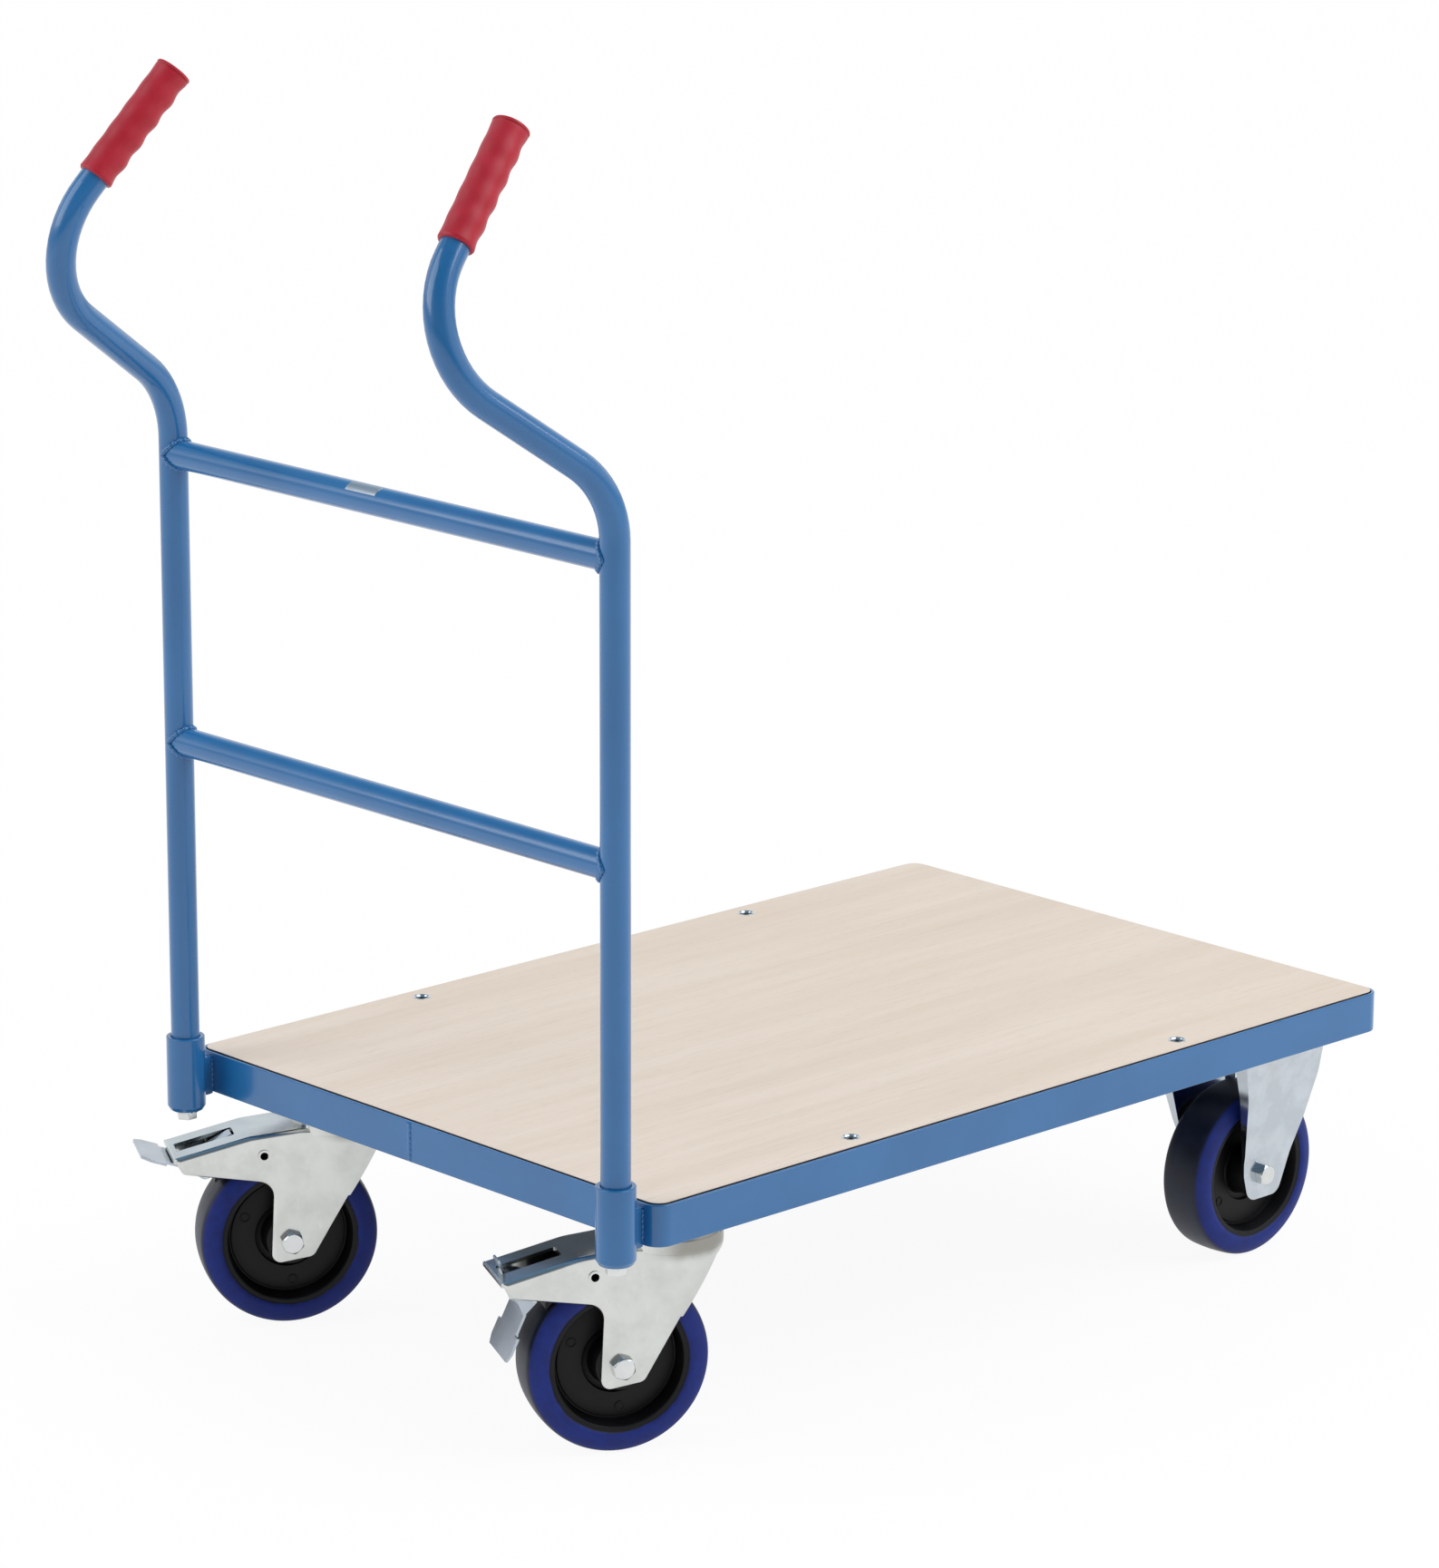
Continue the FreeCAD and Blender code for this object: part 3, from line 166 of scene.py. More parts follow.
def powder_coat():
    """Satin polyester powder over steel: faint orange peel, tone drifting a little."""
    coat = Finish("blue powder coat", Specular_IOR_Level=0.5, Coat_Weight=0.45,
                  Coat_Roughness=0.07)
    deep_blue, mid_blue, pale_blue = shade(27, 99, 157), shade(35, 108, 168), shade(76, 136, 186)
    drift = coat.noise(9, 3)
    speckle = coat.noise(1900, 2)
    peel = coat.noise(260, 1, roughness=0.4)
    tone = coat.mixed(drift.between(0.25, 0.75), deep_blue, mid_blue)
    coat.feed("Base Color", coat.mixed(speckle.between(0.3, 0.7) * 0.07, tone, pale_blue))
    coat.feed("Roughness", 0.15 + 0.06 * peel + 0.06 * drift)
    coat.relief(peel, 0.00008, 0.07)
    return coat


def show_node(name, finish):
    """A CAD node that stays as it is and gets its finish."""
    finish.on(frame["nodes"][name])


def finished_piece(name, mesh, finish, turn=35):
    """Turns a bmesh into an object, smooth but for edges that turn by more than an angle."""
    data = bpy.data.meshes.new(name)
    mesh.to_mesh(data)
    mesh.free()
    piece = bpy.data.objects.new(name, data)
    bpy.context.scene.collection.objects.link(piece)
    data.shade_smooth()
    data.set_sharp_from_angle(angle=math.radians(turn))
    finish.on(piece)
    return piece


def softened(name, finish, edge, turn=35, segments=2, piece_name=None):
    """A copy of a CAD node with its flat faces joined and its sharp edges broken."""
    same_point, same_plane = 2e-6, math.radians(0.6)
    source = frame["nodes"][name]
    mesh = bmesh.new()
    mesh.from_mesh(source.data)
    bmesh.ops.remove_doubles(mesh, verts=mesh.verts, dist=same_point)
    bmesh.ops.dissolve_limit(mesh, angle_limit=same_plane, verts=mesh.verts, edges=mesh.edges)
    piece = finished_piece(piece_name or name + "_soft", mesh, finish, turn)
    bevel = piece.modifiers.new("broken edges", "BEVEL")
    bevel.width = edge
    bevel.segments = segments
    bevel.limit_method = "ANGLE"
    bevel.angle_limit = math.radians(turn)
    bevel.harden_normals = True
    level = piece.modifiers.new("flat faces stay flat", "WEIGHTED_NORMAL")
    level.weight = 100
    level.keep_sharp = True
    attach(piece, source["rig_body"])
    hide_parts(name)
    return piece


rim_edge, inner_edge = 0.0007, 0.0005
blue = powder_coat()
softened("frame_rim", blue, rim_edge)
for name in ("cross_member_rear", "cross_member_front", "castor_pads"):
    softened(name, blue, inner_edge)


# ---------------------------------------------------------------- push handle
# Two posts of bent steel tube stand in short sockets, which gussets hold to the rim, and two
# rails of the same tube are welded between them. All of it is coated with the frame.
for name in ("socket_webs", "socket_right", "socket_left", "handle_post_right",
             "handle_post_left", "rail_lower", "rail_upper"):
    show_node(name, blue)


# ---------------------------------------------------------------- weld beads
# Where two steel parts meet, a MIG bead joins them: a row of overlapped ripples of filler
# metal, coated with the frame. The rails, the socket webs and the rim's butt joint have one.
def laid_bead(mesh, path, radius, ripple, pitch, closed=False):
    """A round bead along points, as rings of a swept circle that swell once in each pitch."""
    wobble, wobble_rate, end_taper, ring_corners = 0.07, 1310, 0.35, 10
    count = len(path)
    rings = []
    travelled = 0.0
    for number, point in enumerate(path):
        before = path[number - 1] if number or closed else point
        after = path[(number + 1) % count] if number < count - 1 or closed else point
        along = (after - before).normalized()
        travelled += (point - path[number - 1]).length if number else 0.0
        swell = radius * (1 + ripple * math.sin(2 * math.pi * travelled / pitch)
                          + wobble * math.sin(travelled * wobble_rate + 1.3))
        if not closed and number in (0, count - 1):
            swell *= end_taper
        ring = bmesh.ops.create_circle(mesh, segments=ring_corners, radius=swell)["verts"]
        turn = along.to_track_quat("Z", "Y").to_matrix().to_4x4()
        bmesh.ops.transform(mesh, matrix=Matrix.Translation(point) @ turn, verts=ring)
        rings.append(ring)
    pairs = list(zip(rings, rings[1:])) + ([(rings[-1], rings[0])] if closed else [])
    for first, second in pairs:
        edges = {edge for ring in (first, second) for vertex in ring
                 for edge in vertex.link_edges if edge.other_vert(vertex) in ring}
        bmesh.ops.bridge_loops(mesh, edges=list(edges))
    if not closed:
        for ring in (rings[0], rings[-1]):
            bmesh.ops.contextual_create(mesh, geom=ring)
    bmesh.ops.recalc_face_normals(mesh, faces=mesh.faces)


def middle_of(name):
    """The middle of a CAD node's box."""
    low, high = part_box(name)
    return (low + high) / 2


def climbing(x, y, foot, rise, count):
    """Points straight up from a foot, each one rise above the last."""
    return [Vector((x, y, foot + rise * k)) for k in range(count)]


tube_radius = 0.0125
post_x = middle_of("socket_right").x
post_y = {side: middle_of("socket_" + side).y for side in ("right", "left")}
outward = {"right": -1, "left": 1}

# Each rail meets its posts in a saddle, a rail's round bent over the post's.
saddle_steps, saddle_radius, saddle_crown, saddle_gap = 96, tube_radius + 0.0004, 0.0016, 0.0003
beads = bmesh.new()
for rail in ("rail_lower", "rail_upper"):
    rail_z = middle_of(rail).z
    for side, sign in outward.items():
        saddle = []
        for step in range(saddle_steps):
            angle = 2 * math.pi * step / saddle_steps
            reach = math.hypot(saddle_radius * math.cos(angle), saddle_crown)
            saddle.append(Vector((post_x + saddle_radius * math.sin(angle),
                                  post_y[side] - sign * (reach + saddle_gap),
                                  rail_z + saddle_radius * math.cos(angle))))
        laid_bead(beads, saddle, radius=0.0023, ripple=0.2, pitch=0.0041, closed=True)
rail_beads = finished_piece("rail_weld_beads", beads, blue, 60)
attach(rail_beads, "truck")
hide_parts("rail_welds")

# A gusset has four beads: two up the socket and two up the rim, one on each of its faces.
rim_low, rim_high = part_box("frame_rim")
web_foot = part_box("socket_webs")[0].z
socket_low, socket_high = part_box("socket_right")
socket_radius = (socket_high.x - socket_low.x) / 2
web_half, bead_rise = 0.003, 0.0011
beads = bmesh.new()
for side in outward:
    for face in (-1, 1):
        web_face = post_y[side] + face * web_half
        socket_side = post_x + math.sqrt(socket_radius ** 2 - web_half ** 2) + 0.0004
        laid_bead(beads, climbing(socket_side, web_face, web_foot + 0.004, bead_rise, 30),
                  radius=0.0012, ripple=0.3, pitch=0.0052)
        rim_side = rim_low.x - (0.00035 if face * outward[side] < 0 else 0.0003)
        laid_bead(beads, climbing(rim_side, web_face, rim_low.z + 0.002, bead_rise, 28),
                  radius=0.0013, ripple=0.3, pitch=0.0047)
web_beads = finished_piece("socket_web_beads", beads, blue, 60)
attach(web_beads, "truck")

# The rim's butt joint is ground nearly flat, so its bead is squeezed towards the rim.
seam_low, seam_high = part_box("frame_seam")
seam_y = (seam_low.y + seam_high.y) / 2
seam_steps, seam_sway, seam_flat = 60, 0.00025, 0.45
seam = [Vector((rim_low.x, seam_y + seam_sway * math.sin(k * 0.7),
                seam_low.z + (seam_high.z - seam_low.z) * k / seam_steps))
        for k in range(seam_steps + 1)]
beads = bmesh.new()
laid_bead(beads, seam, radius=(seam_high.y - seam_low.y) / 2, ripple=0.05, pitch=0.0017)
bmesh.ops.scale(beads, vec=(seam_flat, 1, 1), verts=beads.verts,
                space=Matrix.Translation((-rim_low.x, 0, 0)))
seam_bead = finished_piece("rim_seam_bead", beads, blue, 60)
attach(seam_bead, "truck")
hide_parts("frame_seam")


# ---------------------------------------------------------------- deck board
# A 15 mm board faced with pale beech foil, grain along the truck, on a grey backing. It is
# sawn to the rim's inner shape with a thin gap all round and its edge is dark.
def beech_board():
    """Foil printed with straight beech grain on top, grey backing below, dark edge."""
    board = Finish("pale beech board", Specular_IOR_Level=0.35)
    long_streak = board.noise(22, 4, stretch=(0.06, 1, 1), roughness=0.62)
    fine_streak = board.noise(210, 3, stretch=(0.04, 1, 1), roughness=0.7)
    flecks = board.noise(760, 1, stretch=(0.09, 1, 1))
    cloud = board.noise(3.2, 2, stretch=(0.45, 1, 1))
    foil = board.mixed(long_streak.between(0.3, 0.7), shade(222, 207, 192), shade(230, 217, 204))
    foil = board.mixed(cloud.between(0.35, 0.7) * 0.3, foil, shade(219, 204, 188))
    foil = board.mixed(fine_streak.between(0.5, 0.8) * 0.32, foil, shade(205, 187, 168))
    foil = board.mixed(flecks.between(0.6, 0.72) * 0.22, foil, shade(196, 176, 156))
    backing = board.mixed(long_streak, shade(80, 94, 108), shade(92, 106, 120))
    edge = board.mixed(fine_streak, shade(44, 47, 55), shade(56, 59, 67))
    low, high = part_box("deck_board")
    height = board.along(2)
    off_backing = height.between(low.z + 0.0002, low.z + 0.0005)
    on_foil = height.between(high.z - 0.0006, high.z - 0.0004)
    sides = board.mixed(off_backing, backing, edge)
    board.feed("Base Color", board.mixed(on_foil, sides, foil))
    board.feed("Roughness", 0.50 + 0.10 * fine_streak)
    board.relief(fine_streak * 0.6 + flecks * 0.4, 0.00008, 0.3)
    return board


board_edge = 0.0003
softened("deck_board", beech_board(), board_edge, piece_name="faced_board")


# ---------------------------------------------------------------- deck screws
# Four countersunk screws with hexagon sockets hold the board to the cross members. Each sits
# in a pressed cup washer whose rolled rim stands a little proud of the board.
def retoned(tone, share, lift=0.0):
    """A colour with its light cut or raised to a share of what it was, then lifted."""
    return tuple(channel * share + lift for channel in tone[:3]) + (1,)


def plated_zinc(name, tone, roughness, mottle=1.0):
    """Bright zinc plating: pale metal with faint clouds, dull patches and fine scuffs."""
    zinc = Finish(name, Metallic=1.0)
    cloud = zinc.noise(34, 4, roughness=0.6)
    patch = zinc.noise(11, 2)
    scuff = zinc.noise(520, 2, stretch=(1, 1, 0.2))
    colour = zinc.mixed(cloud.between(0.35, 0.75) * mottle, tone, retoned(tone, 0.88))
    colour = zinc.mixed(patch.between(0.56, 0.72) * 0.12 * mottle, colour, shade(176, 168, 150))
    colour = zinc.mixed(scuff.between(0.62, 0.8) * 0.14, colour, shade(246, 248, 248))
    zinc.feed("Base Color", colour)
    zinc.feed("Roughness", roughness - 0.05 + 0.10 * cloud + 0.03 * scuff)
    zinc.relief(cloud, 0.00012, 0.12)
    return zinc


screw_zinc = plated_zinc("bright zinc screws", shade(222, 224, 224), 0.17)
# Painted shade: the screws and nuts get a much darker zinc, standing in for the dark hexagon
# sockets in the middle of the cup washers.
shade_darkened_zinc = plated_zinc("dull zinc screws", shade(112, 113, 114), 0.30)
screw_edge, screw_turn = 0.00015, 50
softened("deck_cup_washers", screw_zinc, screw_edge, screw_turn)
softened("deck_screws", shade_darkened_zinc, screw_edge, screw_turn)
softened("deck_nuts", shade_darkened_zinc, screw_edge, screw_turn)


# ---------------------------------------------------------------- hand grips
# Soft PVC grips, dip-moulded in red, pushed on to the post ends. Five finger dents wave their
# under side, the upper side is nearly straight, and a thin lip ends the closed tip.
def soft_red():
    """Soft red PVC with a fine pebbled skin."""
    grip = Finish("soft red grip", Specular_IOR_Level=0.45, Sheen_Weight=0.10,
                  Sheen_Roughness=0.4)
    cloud = grip.noise(60, 3)
    pebble = grip.noise(1500, 2)
    tone = grip.mixed(cloud.between(0.3, 0.75), shade(172, 17, 40), shade(182, 25, 49))
    tone = grip.mixed(pebble.between(0.66, 0.85) * 0.12, tone, shade(200, 78, 92))
    grip.feed("Base Color", tone)
    grip.feed("Roughness", 0.40 + 0.08 * pebble + 0.05 * cloud)
    grip.relief(pebble, 0.00006, 0.25)
    return grip


def axis_of(name):
    """End centres of a grip, its lower, open end first; its widest flat lies across its axis."""
    end_depth = 0.0002
    data = frame["nodes"][name].data
    flats = {}
    for face in data.polygons:
        facing = tuple(round(part, 3) for part in face.normal)
        flats[facing] = flats.get(facing, 0) + face.area
    axis = Vector(max(flats, key=flats.get)).normalized()
    ends = []
    for limit in (min, max):
        edge = limit(axis.dot(vertex.co) for vertex in data.vertices)
        near = [vertex.co for vertex in data.vertices
                if abs(axis.dot(vertex.co) - edge) < end_depth]
        ends.append(sum(near, Vector()) / len(near))
    return sorted(ends, key=lambda end: end.z)


def spun_profile(mesh, corners, steps=128):
    """Spins (distance from Y, place along Y) corners into a closed ring round Y."""
    verts = [mesh.verts.new((0, across, radius)) for radius, across in corners]
    edges = [mesh.edges.new(pair) for pair in zip(verts, verts[1:] + verts[:1])]
    bmesh.ops.spin(mesh, geom=verts + edges, cent=(0, 0, 0), axis=(0, 1, 0), dvec=(0, 0, 0),
                   angle=2 * math.pi, steps=steps, use_merge=True, use_normal_flip=False,
                   use_duplicate=False)
    bmesh.ops.remove_doubles(mesh, verts=mesh.verts, dist=1e-6)
    bmesh.ops.recalc_face_normals(mesh, faces=mesh.faces)


def grip_mesh(base, tip):
    """Spun sleeve with a lip and a closed tip, then dented in waves, deepest underneath."""
    crest, bore, mouth, lip, tip_wall = 0.0156, 0.0125, 0.0006, 0.0034, 0.0030
    sleeve_rings, turn_steps, fingers = 90, 64, 5
    side_dent, under_dent = 0.0004, 0.0012
    length = (tip - base).length
    lip_start = length - lip
    run = lip_start - 2 * mouth
    profile = [(bore, 0.0), (0.0143, 0.0), (0.0149, mouth)]
    profile += [(crest, mouth + run * k / sleeve_rings) for k in range(1, sleeve_rings + 1)]
    profile += [(0.0149, lip_start - 0.0002), (0.0150, lip_start + 0.0004),
                (0.0158, lip_start + 0.0009), (0.0159, length - 0.0014),
                (0.0155, length - 0.0006), (0.0147, length - 0.0002), (0.0128, length),
                (0.0060, length), (0.0, length), (0.0, length - tip_wall),
                (bore, length - tip_wall)]
    mesh = bmesh.new()
    spun_profile(mesh, profile, turn_steps)
    for vertex in mesh.verts:
        reach = math.hypot(vertex.co.x, vertex.co.z)
        if reach > crest - 1e-5 and vertex.co.y < lip_start - 0.0003:
            downward = vertex.co.x / reach
            dent = side_dent + under_dent * max(0.0, 0.3 + 0.7 * downward)
            wave = 0.5 - 0.5 * math.cos(2 * math.pi * vertex.co.y * fingers / lip_start)
            share = 1 - dent * wave / reach
            vertex.co.x *= share
            vertex.co.z *= share
    axis = (tip - base).normalized()
    level = axis.cross(Vector((0, 0, 1))).normalized()
    under = level.cross(axis)
    if under.z > 0:
        under, level = -under, -level
    turn = Matrix((under, axis, level)).transposed().to_4x4()
    bmesh.ops.transform(mesh, matrix=Matrix.Translation(base) @ turn, verts=mesh.verts)
    bmesh.ops.recalc_face_normals(mesh, faces=mesh.faces)
    return mesh


red = soft_red()
for side in outward:
    sleeve = grip_mesh(*axis_of("grip_" + side))
    grip_piece = finished_piece(f"grip_{side}_dipped", sleeve, red, 50)
    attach(grip_piece, "truck")
    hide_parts("grip_" + side)


# ---------------------------------------------------------------- plugs and handle bolts
# A black plug in the foot of each post takes the one hexagon screw, with a broad washer,
# that pulls the post down into its socket.
def moulded_black(name, tone, roughness):
    """Injection-moulded black plastic with a faint grain."""
    plastic = Finish(name, Specular_IOR_Level=0.28)
    grain = plastic.noise(1100, 2)
    cloud = plastic.noise(45, 3)
    rubbed = retoned(tone, 1.5, lift=0.002)
    plastic.feed("Base Color", plastic.mixed(cloud.between(0.3, 0.8), tone, rubbed))
    plastic.feed("Roughness", roughness + 0.12 * cloud)
    plastic.relief(grain, 0.00008, 0.3)
    return plastic


plug_black = moulded_black("black plug", shade(18, 18, 20), 0.42)
show_node("handle_plugs", plug_black)
bolt_edge = 0.0004
for name in ("handle_bolts", "handle_washers"):
    softened(name, screw_zinc, bolt_edge, 40)


# ---------------------------------------------------------------- blank plate
# A small bare aluminium plate, curved to the upper rail and stuck on. Its face is brushed
# along its length.
def brushed_plate():
    """Aluminium brushed along Y, the way the rail runs."""
    plate = Finish("brushed aluminium plate", Metallic=1.0)
    brushing = plate.noise(2600, 2, stretch=(1, 0.03, 1))
    plate.feed("Base Color", plate.mixed(brushing, shade(196, 198, 200), shade(222, 223, 224)))
    plate.feed("Roughness", 0.30 + 0.14 * brushing)
    plate.relief(brushing, 0.00003, 0.3)
    return plate


plate_edge = 0.0001
softened("blank_plate", brushed_plate(), plate_edge)


# ---------------------------------------------------------------- castor plates and bolts
# Each castor hangs from a plate of zinc-plated sheet, held by four hexagon bolts and nuts.
# On the swivel castors a ring of balls runs under the plate round a riveted kingpin.
plate_tone, sheet_edge = shade(215, 217, 214), 0.0005
castor_zinc = plated_zinc("castor zinc", plate_tone, 0.17)
for side in outward:
    softened("swivel_plate_rear_" + side, castor_zinc, sheet_edge)
for name in ("castor_bolts", "castor_nuts"):
    softened(name, screw_zinc, sheet_edge)
bright_steel = plated_zinc("bright steel", shade(190, 192, 194), 0.22, mottle=0.5)
for name in ("kingpins", "lock_rings", "swivel_balls_rear_right", "swivel_balls_rear_left",
             "axle_tubes_front", "axle_tube_rear_right", "axle_tube_rear_left",
             "bearings_front_right", "bearings_front_left", "bearings_rear_right",
             "bearings_rear_left"):
    show_node(name, bright_steel)


# ---------------------------------------------------------------- forks
# The swivel forks are pressed from 3 mm sheet in one piece with the ball track and the arm
# over the wheel; the fixed forks are two splayed legs under a plate. All are zinc-plated, and
# a bolt through the legs carries the wheel.
def shade_banded_zinc():
    """Castor zinc whose head, close round the ball track, has a grey band of painted shade: the
    frame's dark underside mirrored there.
    """
    zinc = plated_zinc("swivel fork zinc", plate_tone, 0.17)
    head_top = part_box("fork_rear_right")[1].z
    pin_x = next(j for j in frame["joints"] if j["name"] == "swivel_right_turn")["pos_m"][0]
    band_wobble = zinc.noise(48, 3, stretch=(1, 1, 0.5))
    height = zinc.along(2) + 0.007 * (band_wobble - 0.5)
    on_head = zinc.along(0).between(pin_x - 0.045, pin_x - 0.020)
    # Painted shade and reflection: a grey band on the head, just under the frame, stands in for
    # the frame's dark underside mirrored there.
    painted_band_mask = height.between(head_top - 0.035, head_top - 0.024) * on_head
    painted_band_shade = shade(138, 136, 128)
    zinc.feed("Base Color", zinc.mixed(painted_band_mask * 0.85, zinc.fed("Base Color"), painted_band_shade))
    return zinc


fixed_fork_bend, axle_edge = 0.0022, 0.0003
fork_zinc = shade_banded_zinc()
# Painted reflection: the fixed forks' zinc is tinted blue for the bluish things it mirrors. Its
# clouds and brown patches are made stronger, partly a real stain and partly painted shade for the
# soft light and dark bands of the curved legs.
reflection_tinted_zinc = plated_zinc("cool castor zinc", shade(203, 211, 218), 0.15, mottle=1.8)
for side in outward:
    softened("fork_rear_" + side, fork_zinc, sheet_edge, 40)
    softened("fork_front_" + side, reflection_tinted_zinc, fixed_fork_bend, 40, segments=3)
    show_node("brake_pins_rear_" + side, castor_zinc)
    softened("axle_fasteners_rear_" + side, screw_zinc, axle_edge, 25)
softened("axle_fasteners_front", screw_zinc, axle_edge, 25)


# ---------------------------------------------------------------- brakes
# The rocking pedal is bent sheet, zinc-plated; the brake lever under it is black. Both turn
# on pins across the fork.
pedal_zinc = plated_zinc("pedal zinc", shade(184, 193, 203), 0.20)
lever_black = moulded_black("black brake lever", shade(15, 15, 17), 0.38)
for side in outward:
    softened("brake_pedal_" + side, pedal_zinc, sheet_edge, 30)
    softened("brake_lever_" + side, lever_black, sheet_edge, 30)


# ---------------------------------------------------------------- wheels
# Black polyamide wheel centres with deep sides, and solid blue rubber tyres bonded on. The
# tread is much darker than the sides.
def wheel_place(joint_name):
    """Turns a shape made round +Y at the origin on to a wheel's axle."""
    joint = next(j for j in frame["joints"] if j["name"] == joint_name)
    axis = Vector(joint["axis"])
    heading = Vector((axis.y, -axis.x, 0))
    turn = Matrix((heading, axis, Vector((0, 0, 1)))).transposed().to_4x4()
    return Matrix.Translation(joint["pos_m"]) @ turn


def mark_distance(piece, place):
    """Keeps each point's distance from the axle as an attribute."""
    back = place.inverted()
    local = [back @ vertex.co for vertex in piece.data.vertices]
    from_axle = piece.data.attributes.new("from_axle", "FLOAT", "POINT")
    from_axle.data.foreach_set("value", [math.hypot(point.x, point.z) for point in local])


def blue_rubber():
    """Blue sides, a much darker tread, and a dark line where the rubber meets its centre."""
    rubber = Finish("blue rubber", Specular_IOR_Level=0.38)
    from_axle = rubber.node("Attribute", attribute_name="from_axle", output=2)
    blotch = rubber.noise(70, 4, roughness=0.65)
    speck = rubber.noise(1300, 2)
    side_tone = rubber.mixed(blotch.between(0.3, 0.75), shade(9, 31, 111), shade(15, 42, 130))
    tread_tone = rubber.mixed(blotch.between(0.25, 0.75), shade(20, 25, 42), shade(30, 37, 60))
    on_tread = (from_axle + 0.0016 * blotch).between(0.0776, 0.0792)
    tone = rubber.mixed(on_tread, side_tone, tread_tone)
    near_hub = (from_axle + 0.0026 * blotch).between(0.0630, 0.0617)
    tone = rubber.mixed(near_hub, tone, shade(22, 22, 28))
    rubber.feed("Base Color", tone)
    rubber.feed("Roughness", 0.54 + 0.14 * blotch - 0.18 * on_tread)
    rubber.relief(speck * 0.5 + blotch * 0.5, 0.00012, 0.3)
    return rubber


def both_sides(half, middle=()):
    """A wheel's whole profile from (distance from axle, distance from middle) of one side."""
    return half + list(middle) + [(radius, -across) for radius, across in reversed(half)]


def tyre_mesh():
    """Solid tyre: crowned tread, rounded shoulders, sides that swell over the seat."""
    half = [(0.0600, 0.0230), (0.0612, 0.0238), (0.0625, 0.0246), (0.0640, 0.0250),
            (0.0652, 0.02495), (0.0670, 0.02475), (0.0690, 0.0244), (0.0710, 0.0238),
            (0.0730, 0.0230), (0.0750, 0.0219), (0.0765, 0.0208), (0.0776, 0.0197),
            (0.0784, 0.0185), (0.0789, 0.0172), (0.0793, 0.0150), (0.0796, 0.0110),
            (0.0799, 0.0055)]
    mesh = bmesh.new()
    spun_profile(mesh, both_sides(half, middle=[(0.0800, 0.0)]))
    return mesh


def moulding_mark(circle, angle, face):
    """A low ring on the disc, as mesh data: circle is how far out it lies, face its side."""
    profile = [(0.0032, 0.0102), (0.0032, 0.0108), (0.0035, 0.0111), (0.0042, 0.0111),
               (0.0045, 0.0108), (0.0045, 0.0102)]
    ring = bmesh.new()
    spun_profile(ring, profile, 24)
    bmesh.ops.scale(ring, vec=(1, face, 1), verts=ring.verts)
    bmesh.ops.translate(ring, vec=(circle * math.cos(angle), 0, circle * math.sin(angle)),
                        verts=ring.verts)
    bmesh.ops.recalc_face_normals(ring, faces=ring.faces)
    data = bpy.data.meshes.new("moulding mark")
    ring.to_mesh(data)
    ring.free()
    return data


def hub_mesh():
    """Wheel centre: lip, deep side recess, flat disc with moulding marks, bearing boss."""
    half = [(0.0160, 0.0266), (0.0163, 0.0270), (0.0208, 0.0270), (0.0216, 0.0267),
            (0.0220, 0.0260), (0.0228, 0.0085), (0.0232, 0.0070), (0.0242, 0.0060),
            (0.0284, 0.0060), (0.0290, 0.0064), (0.0292, 0.0094), (0.0297, 0.0100),
            (0.0318, 0.0101), (0.0500, 0.0105), (0.0509, 0.0102), (0.0512, 0.0092),
            (0.0516, 0.0086), (0.0526, 0.0087), (0.0532, 0.0095), (0.0536, 0.0110),
            (0.0560, 0.0221), (0.0564, 0.0227), (0.0571, 0.0230), (0.0600, 0.0230)]
    marks_each_side, mark_circle = 3, 0.0425
    mesh = bmesh.new()
    spun_profile(mesh, both_sides(half))
    for face in (-1, 1):
        for number in range(marks_each_side):
            angle = 2 * math.pi * (number / marks_each_side + 0.07 * face)
            data = moulding_mark(mark_circle, angle, face)
            mesh.from_mesh(data)
            bpy.data.meshes.remove(data)
    return mesh


rubber = blue_rubber()
wheel_black = moulded_black("black wheel centre", shade(5, 5, 6), 0.42)
kinds = (("tyre", tyre_mesh, rubber, "tyre_blue", 60),
         ("hub", hub_mesh, wheel_black, "wheel_black", 40))
for wheel in ("rear_right", "rear_left", "front_right", "front_left"):
    place = wheel_place("wheel_" + wheel + "_spin")
    for kind, build, finish, slot, turn in kinds:
        mesh = build()
        bmesh.ops.transform(mesh, matrix=place, verts=mesh.verts)
        piece = finished_piece(f"{kind}_{wheel}_moulded", mesh, finish, turn)
        mark_distance(piece, place)
        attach(piece, "wheel_" + wheel)
        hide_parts(f"{kind}_{wheel}")


# ---------------------------------------------------------------- studio floor
# A seamless white floor under the truck. It keeps a faint shadow round the wheels and clears
# to plain white further out. Bright metal mirrors it white near the truck and grey far off.
floor_half = 12
floor = bmesh.new()
bmesh.ops.create_grid(floor, x_segments=1, y_segments=1, size=floor_half)
studio = Finish("studio floor", Base_Color=shade(252, 252, 252), Roughness=0.8)
floor_piece = finished_piece("studio_floor", floor, studio)
matt = Wire(studio.tree, studio.shader.outputs[0])
white = studio.node("Emission", {"Color": (1, 1, 1, 1), "Strength": 1.0})
seen = studio.node("LightPath", output="Is Camera Ray")
mirrored = studio.node("LightPath", output="Is Glossy Ray")
from_truck = studio.node("VectorMath", {0: studio.place}, output=1, operation="LENGTH")
cleared_where_seen = seen * (0.93 + 0.055 * from_truck.between(0.7, 1.9))
cleared_where_mirrored = mirrored * (0.77 - 0.45 * from_truck.between(1.5, 5.5))
cleared = studio.sum("MAXIMUM", cleared_where_seen, cleared_where_mirrored)
surface = studio.node("MixShader", {0: cleared, 1: matt, 2: white})
studio.tree.links.new(surface.output, studio.tree.nodes["Material Output"].inputs["Surface"])


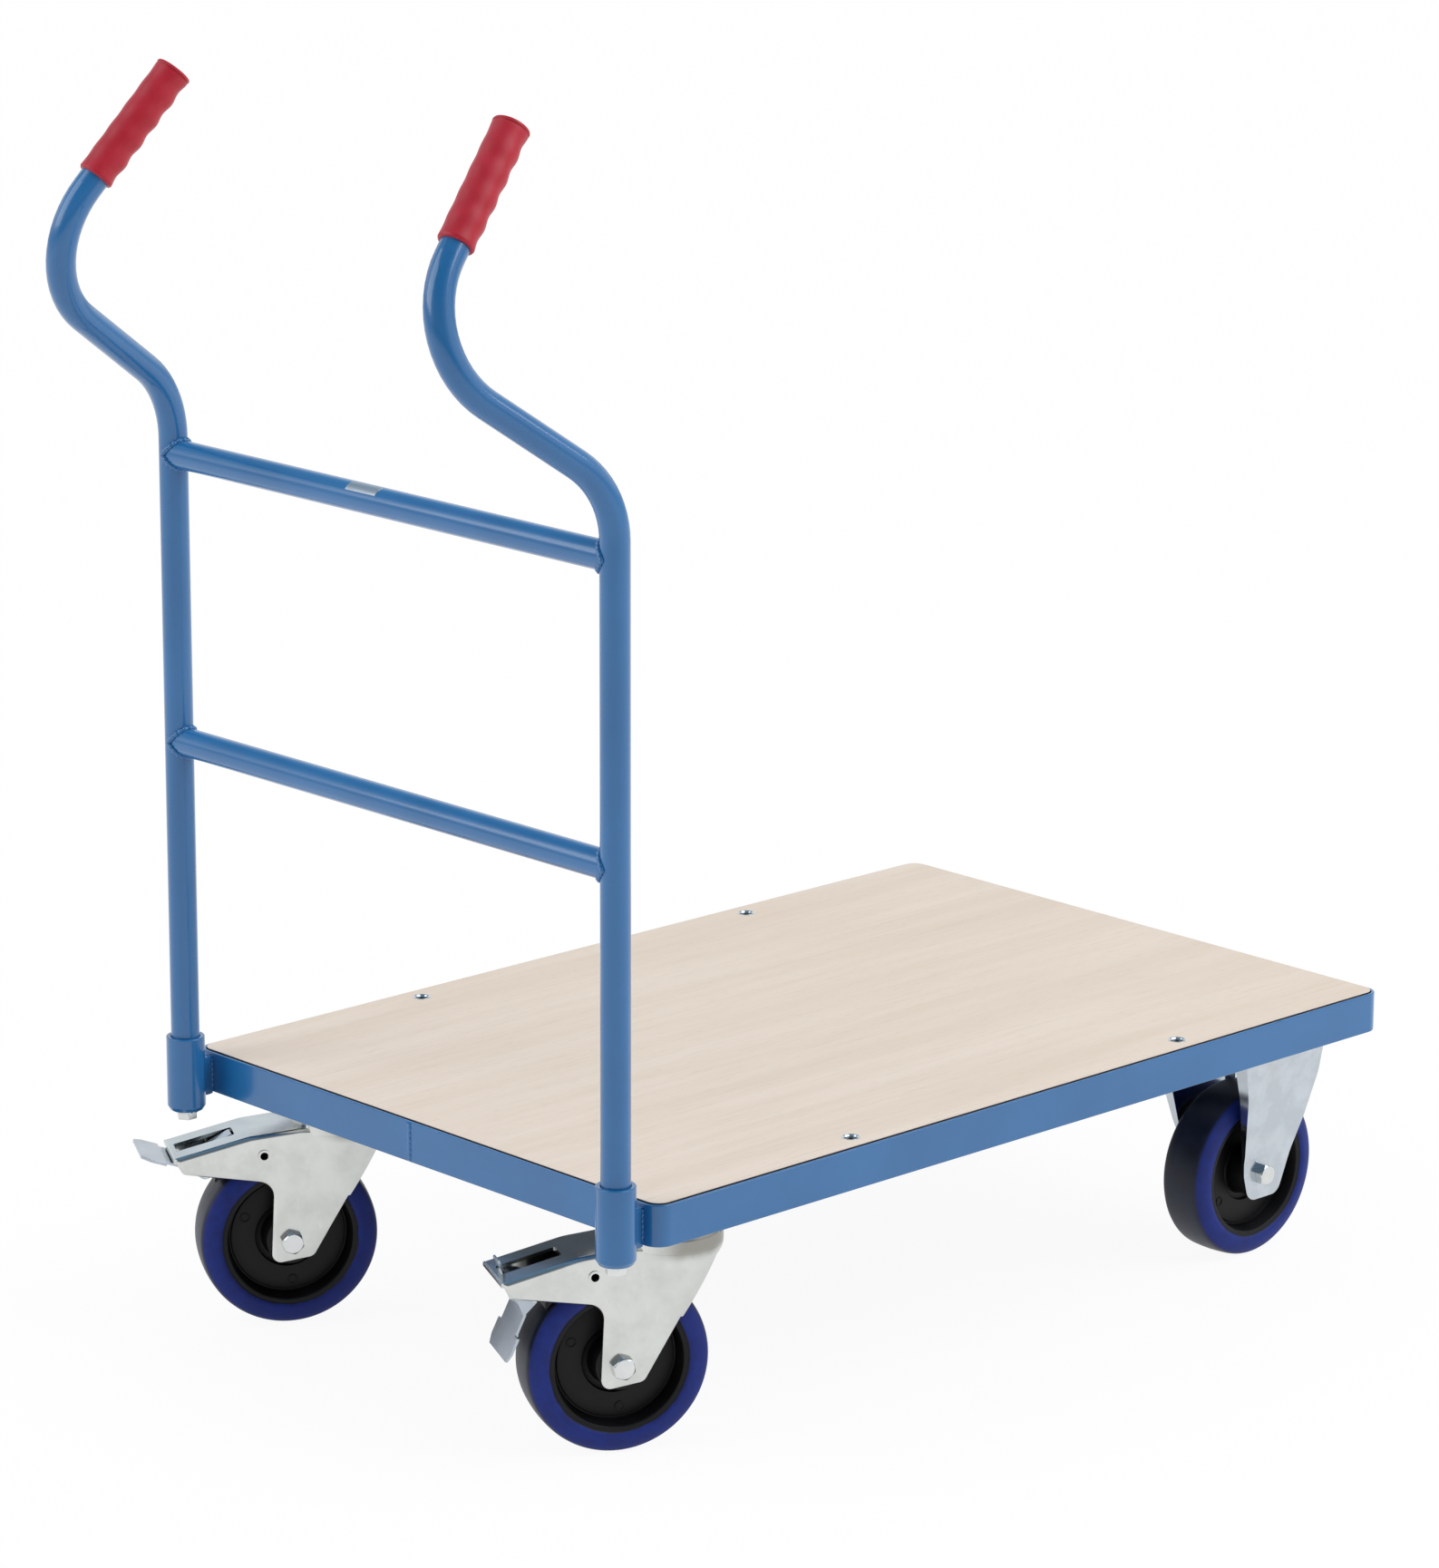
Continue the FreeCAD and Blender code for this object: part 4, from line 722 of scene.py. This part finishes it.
# ---------------------------------------------------------------- studio room
# A white room lights the truck evenly. What bright metal mirrors of it has a cooler, darker
# ceiling, one dark wall and a dark skirting, so that the plating shows its curves.
world = bpy.data.worlds.new("studio room")
bpy.context.scene.world = world
world.use_nodes = True
room = Wire(world.node_tree)
facing = room.node("TexCoord", output="Generated")
upward = room.node("SeparateXYZ", {"Vector": facing}, output=2)
ceiling = upward.between(0.18, 0.75)
skirting = upward.between(0.14, 0.02)
dark_wall_way = (-0.687, -0.727, 0)
dark_wall = room.node("VectorMath", {0: facing, 1: dark_wall_way}, output=1,
                     operation="DOT_PRODUCT").between(0.35, 0.92)
camera_ray = room.node("LightPath", output="Is Camera Ray")
glossy_ray = room.node("LightPath", output="Is Glossy Ray")
clear_ray = room.node("LightPath", output="Is Transmission Ray")
mirror_ray = room.sum("MAXIMUM", glossy_ray, clear_ray)
shown = mirror_ray * ((1.0 - 0.75 * ceiling) * (1.0 - 0.70 * dark_wall) * (1.0 - 0.5 * skirting))
soft_light = 0.72 * (1.0 - 0.10 * ceiling) * (1.0 - 0.75 * dark_wall)
strength = room.sum("MAXIMUM", room.sum("MAXIMUM", camera_ray, shown),
                    soft_light * (1.0 - mirror_ray))
white_paint, cool_paint = (1, 1, 1, 1), (0.55, 1.0, 1.45, 1)
paint = room.mixed(ceiling * glossy_ray, white_paint, cool_paint)
background = world.node_tree.nodes["Background"]
world.node_tree.links.new(paint.output, background.inputs["Color"])
world.node_tree.links.new(strength.output, background.inputs["Strength"])


# ---------------------------------------------------------------- lamps and camera
# Two square soft boxes: the stronger lights the right side from above, the weaker the back
# from the left. The camera has a long lens and stands off the handle's right corner.
target = Vector((-0.0073, (rim_low.y + rim_high.y) / 2 - 0.0004, 0.4822))


def way_to(azimuth, elevation):
    """Direction out from the truck, from degrees round it and degrees above the floor."""
    around, above = math.radians(azimuth), math.radians(elevation)
    return Vector((math.sin(around) * math.cos(above), -math.cos(around) * math.cos(above),
                   math.sin(above)))


def soft_lamp(name, azimuth, elevation, distance, size, watts):
    """A square soft box aimed at the truck from round it."""
    light = bpy.data.lights.new(name, "AREA")
    light.shape = "SQUARE"
    light.size = size
    light.energy = watts
    lamp = bpy.data.objects.new(name, light)
    bpy.context.scene.collection.objects.link(lamp)
    back = way_to(azimuth, elevation)
    lamp.location = target + back * distance
    lamp.rotation_euler = (-back).to_track_quat("-Z", "Y").to_euler()


soft_lamp("key lamp", azimuth=33, elevation=46, distance=5.6, size=4.2, watts=172)
soft_lamp("fill lamp", azimuth=-118, elevation=32, distance=5.4, size=3.8, watts=92)

camera_azimuth, camera_elevation, camera_distance = -43.41, 14.79, 5.210
roll = math.radians(0.19)
camera_data = bpy.data.cameras.new("camera")
camera_data.sensor_width = 36
camera_data.lens = 136.59
camera_data.clip_end = 60
camera = bpy.data.objects.new("camera", camera_data)
bpy.context.scene.collection.objects.link(camera)
back = way_to(camera_azimuth, camera_elevation)
right = Vector((math.cos(math.radians(camera_azimuth)), math.sin(math.radians(camera_azimuth)), 0))
up = back.cross(right)
rolled_right = math.cos(roll) * right + math.sin(roll) * up
rolled_up = -math.sin(roll) * right + math.cos(roll) * up
camera.matrix_world = (Matrix.Translation(target + back * camera_distance)
                       @ Matrix((rolled_right, rolled_up, back)).transposed().to_4x4())
bpy.context.scene.camera = camera
bpy.context.scene.view_settings.view_transform = "Standard"
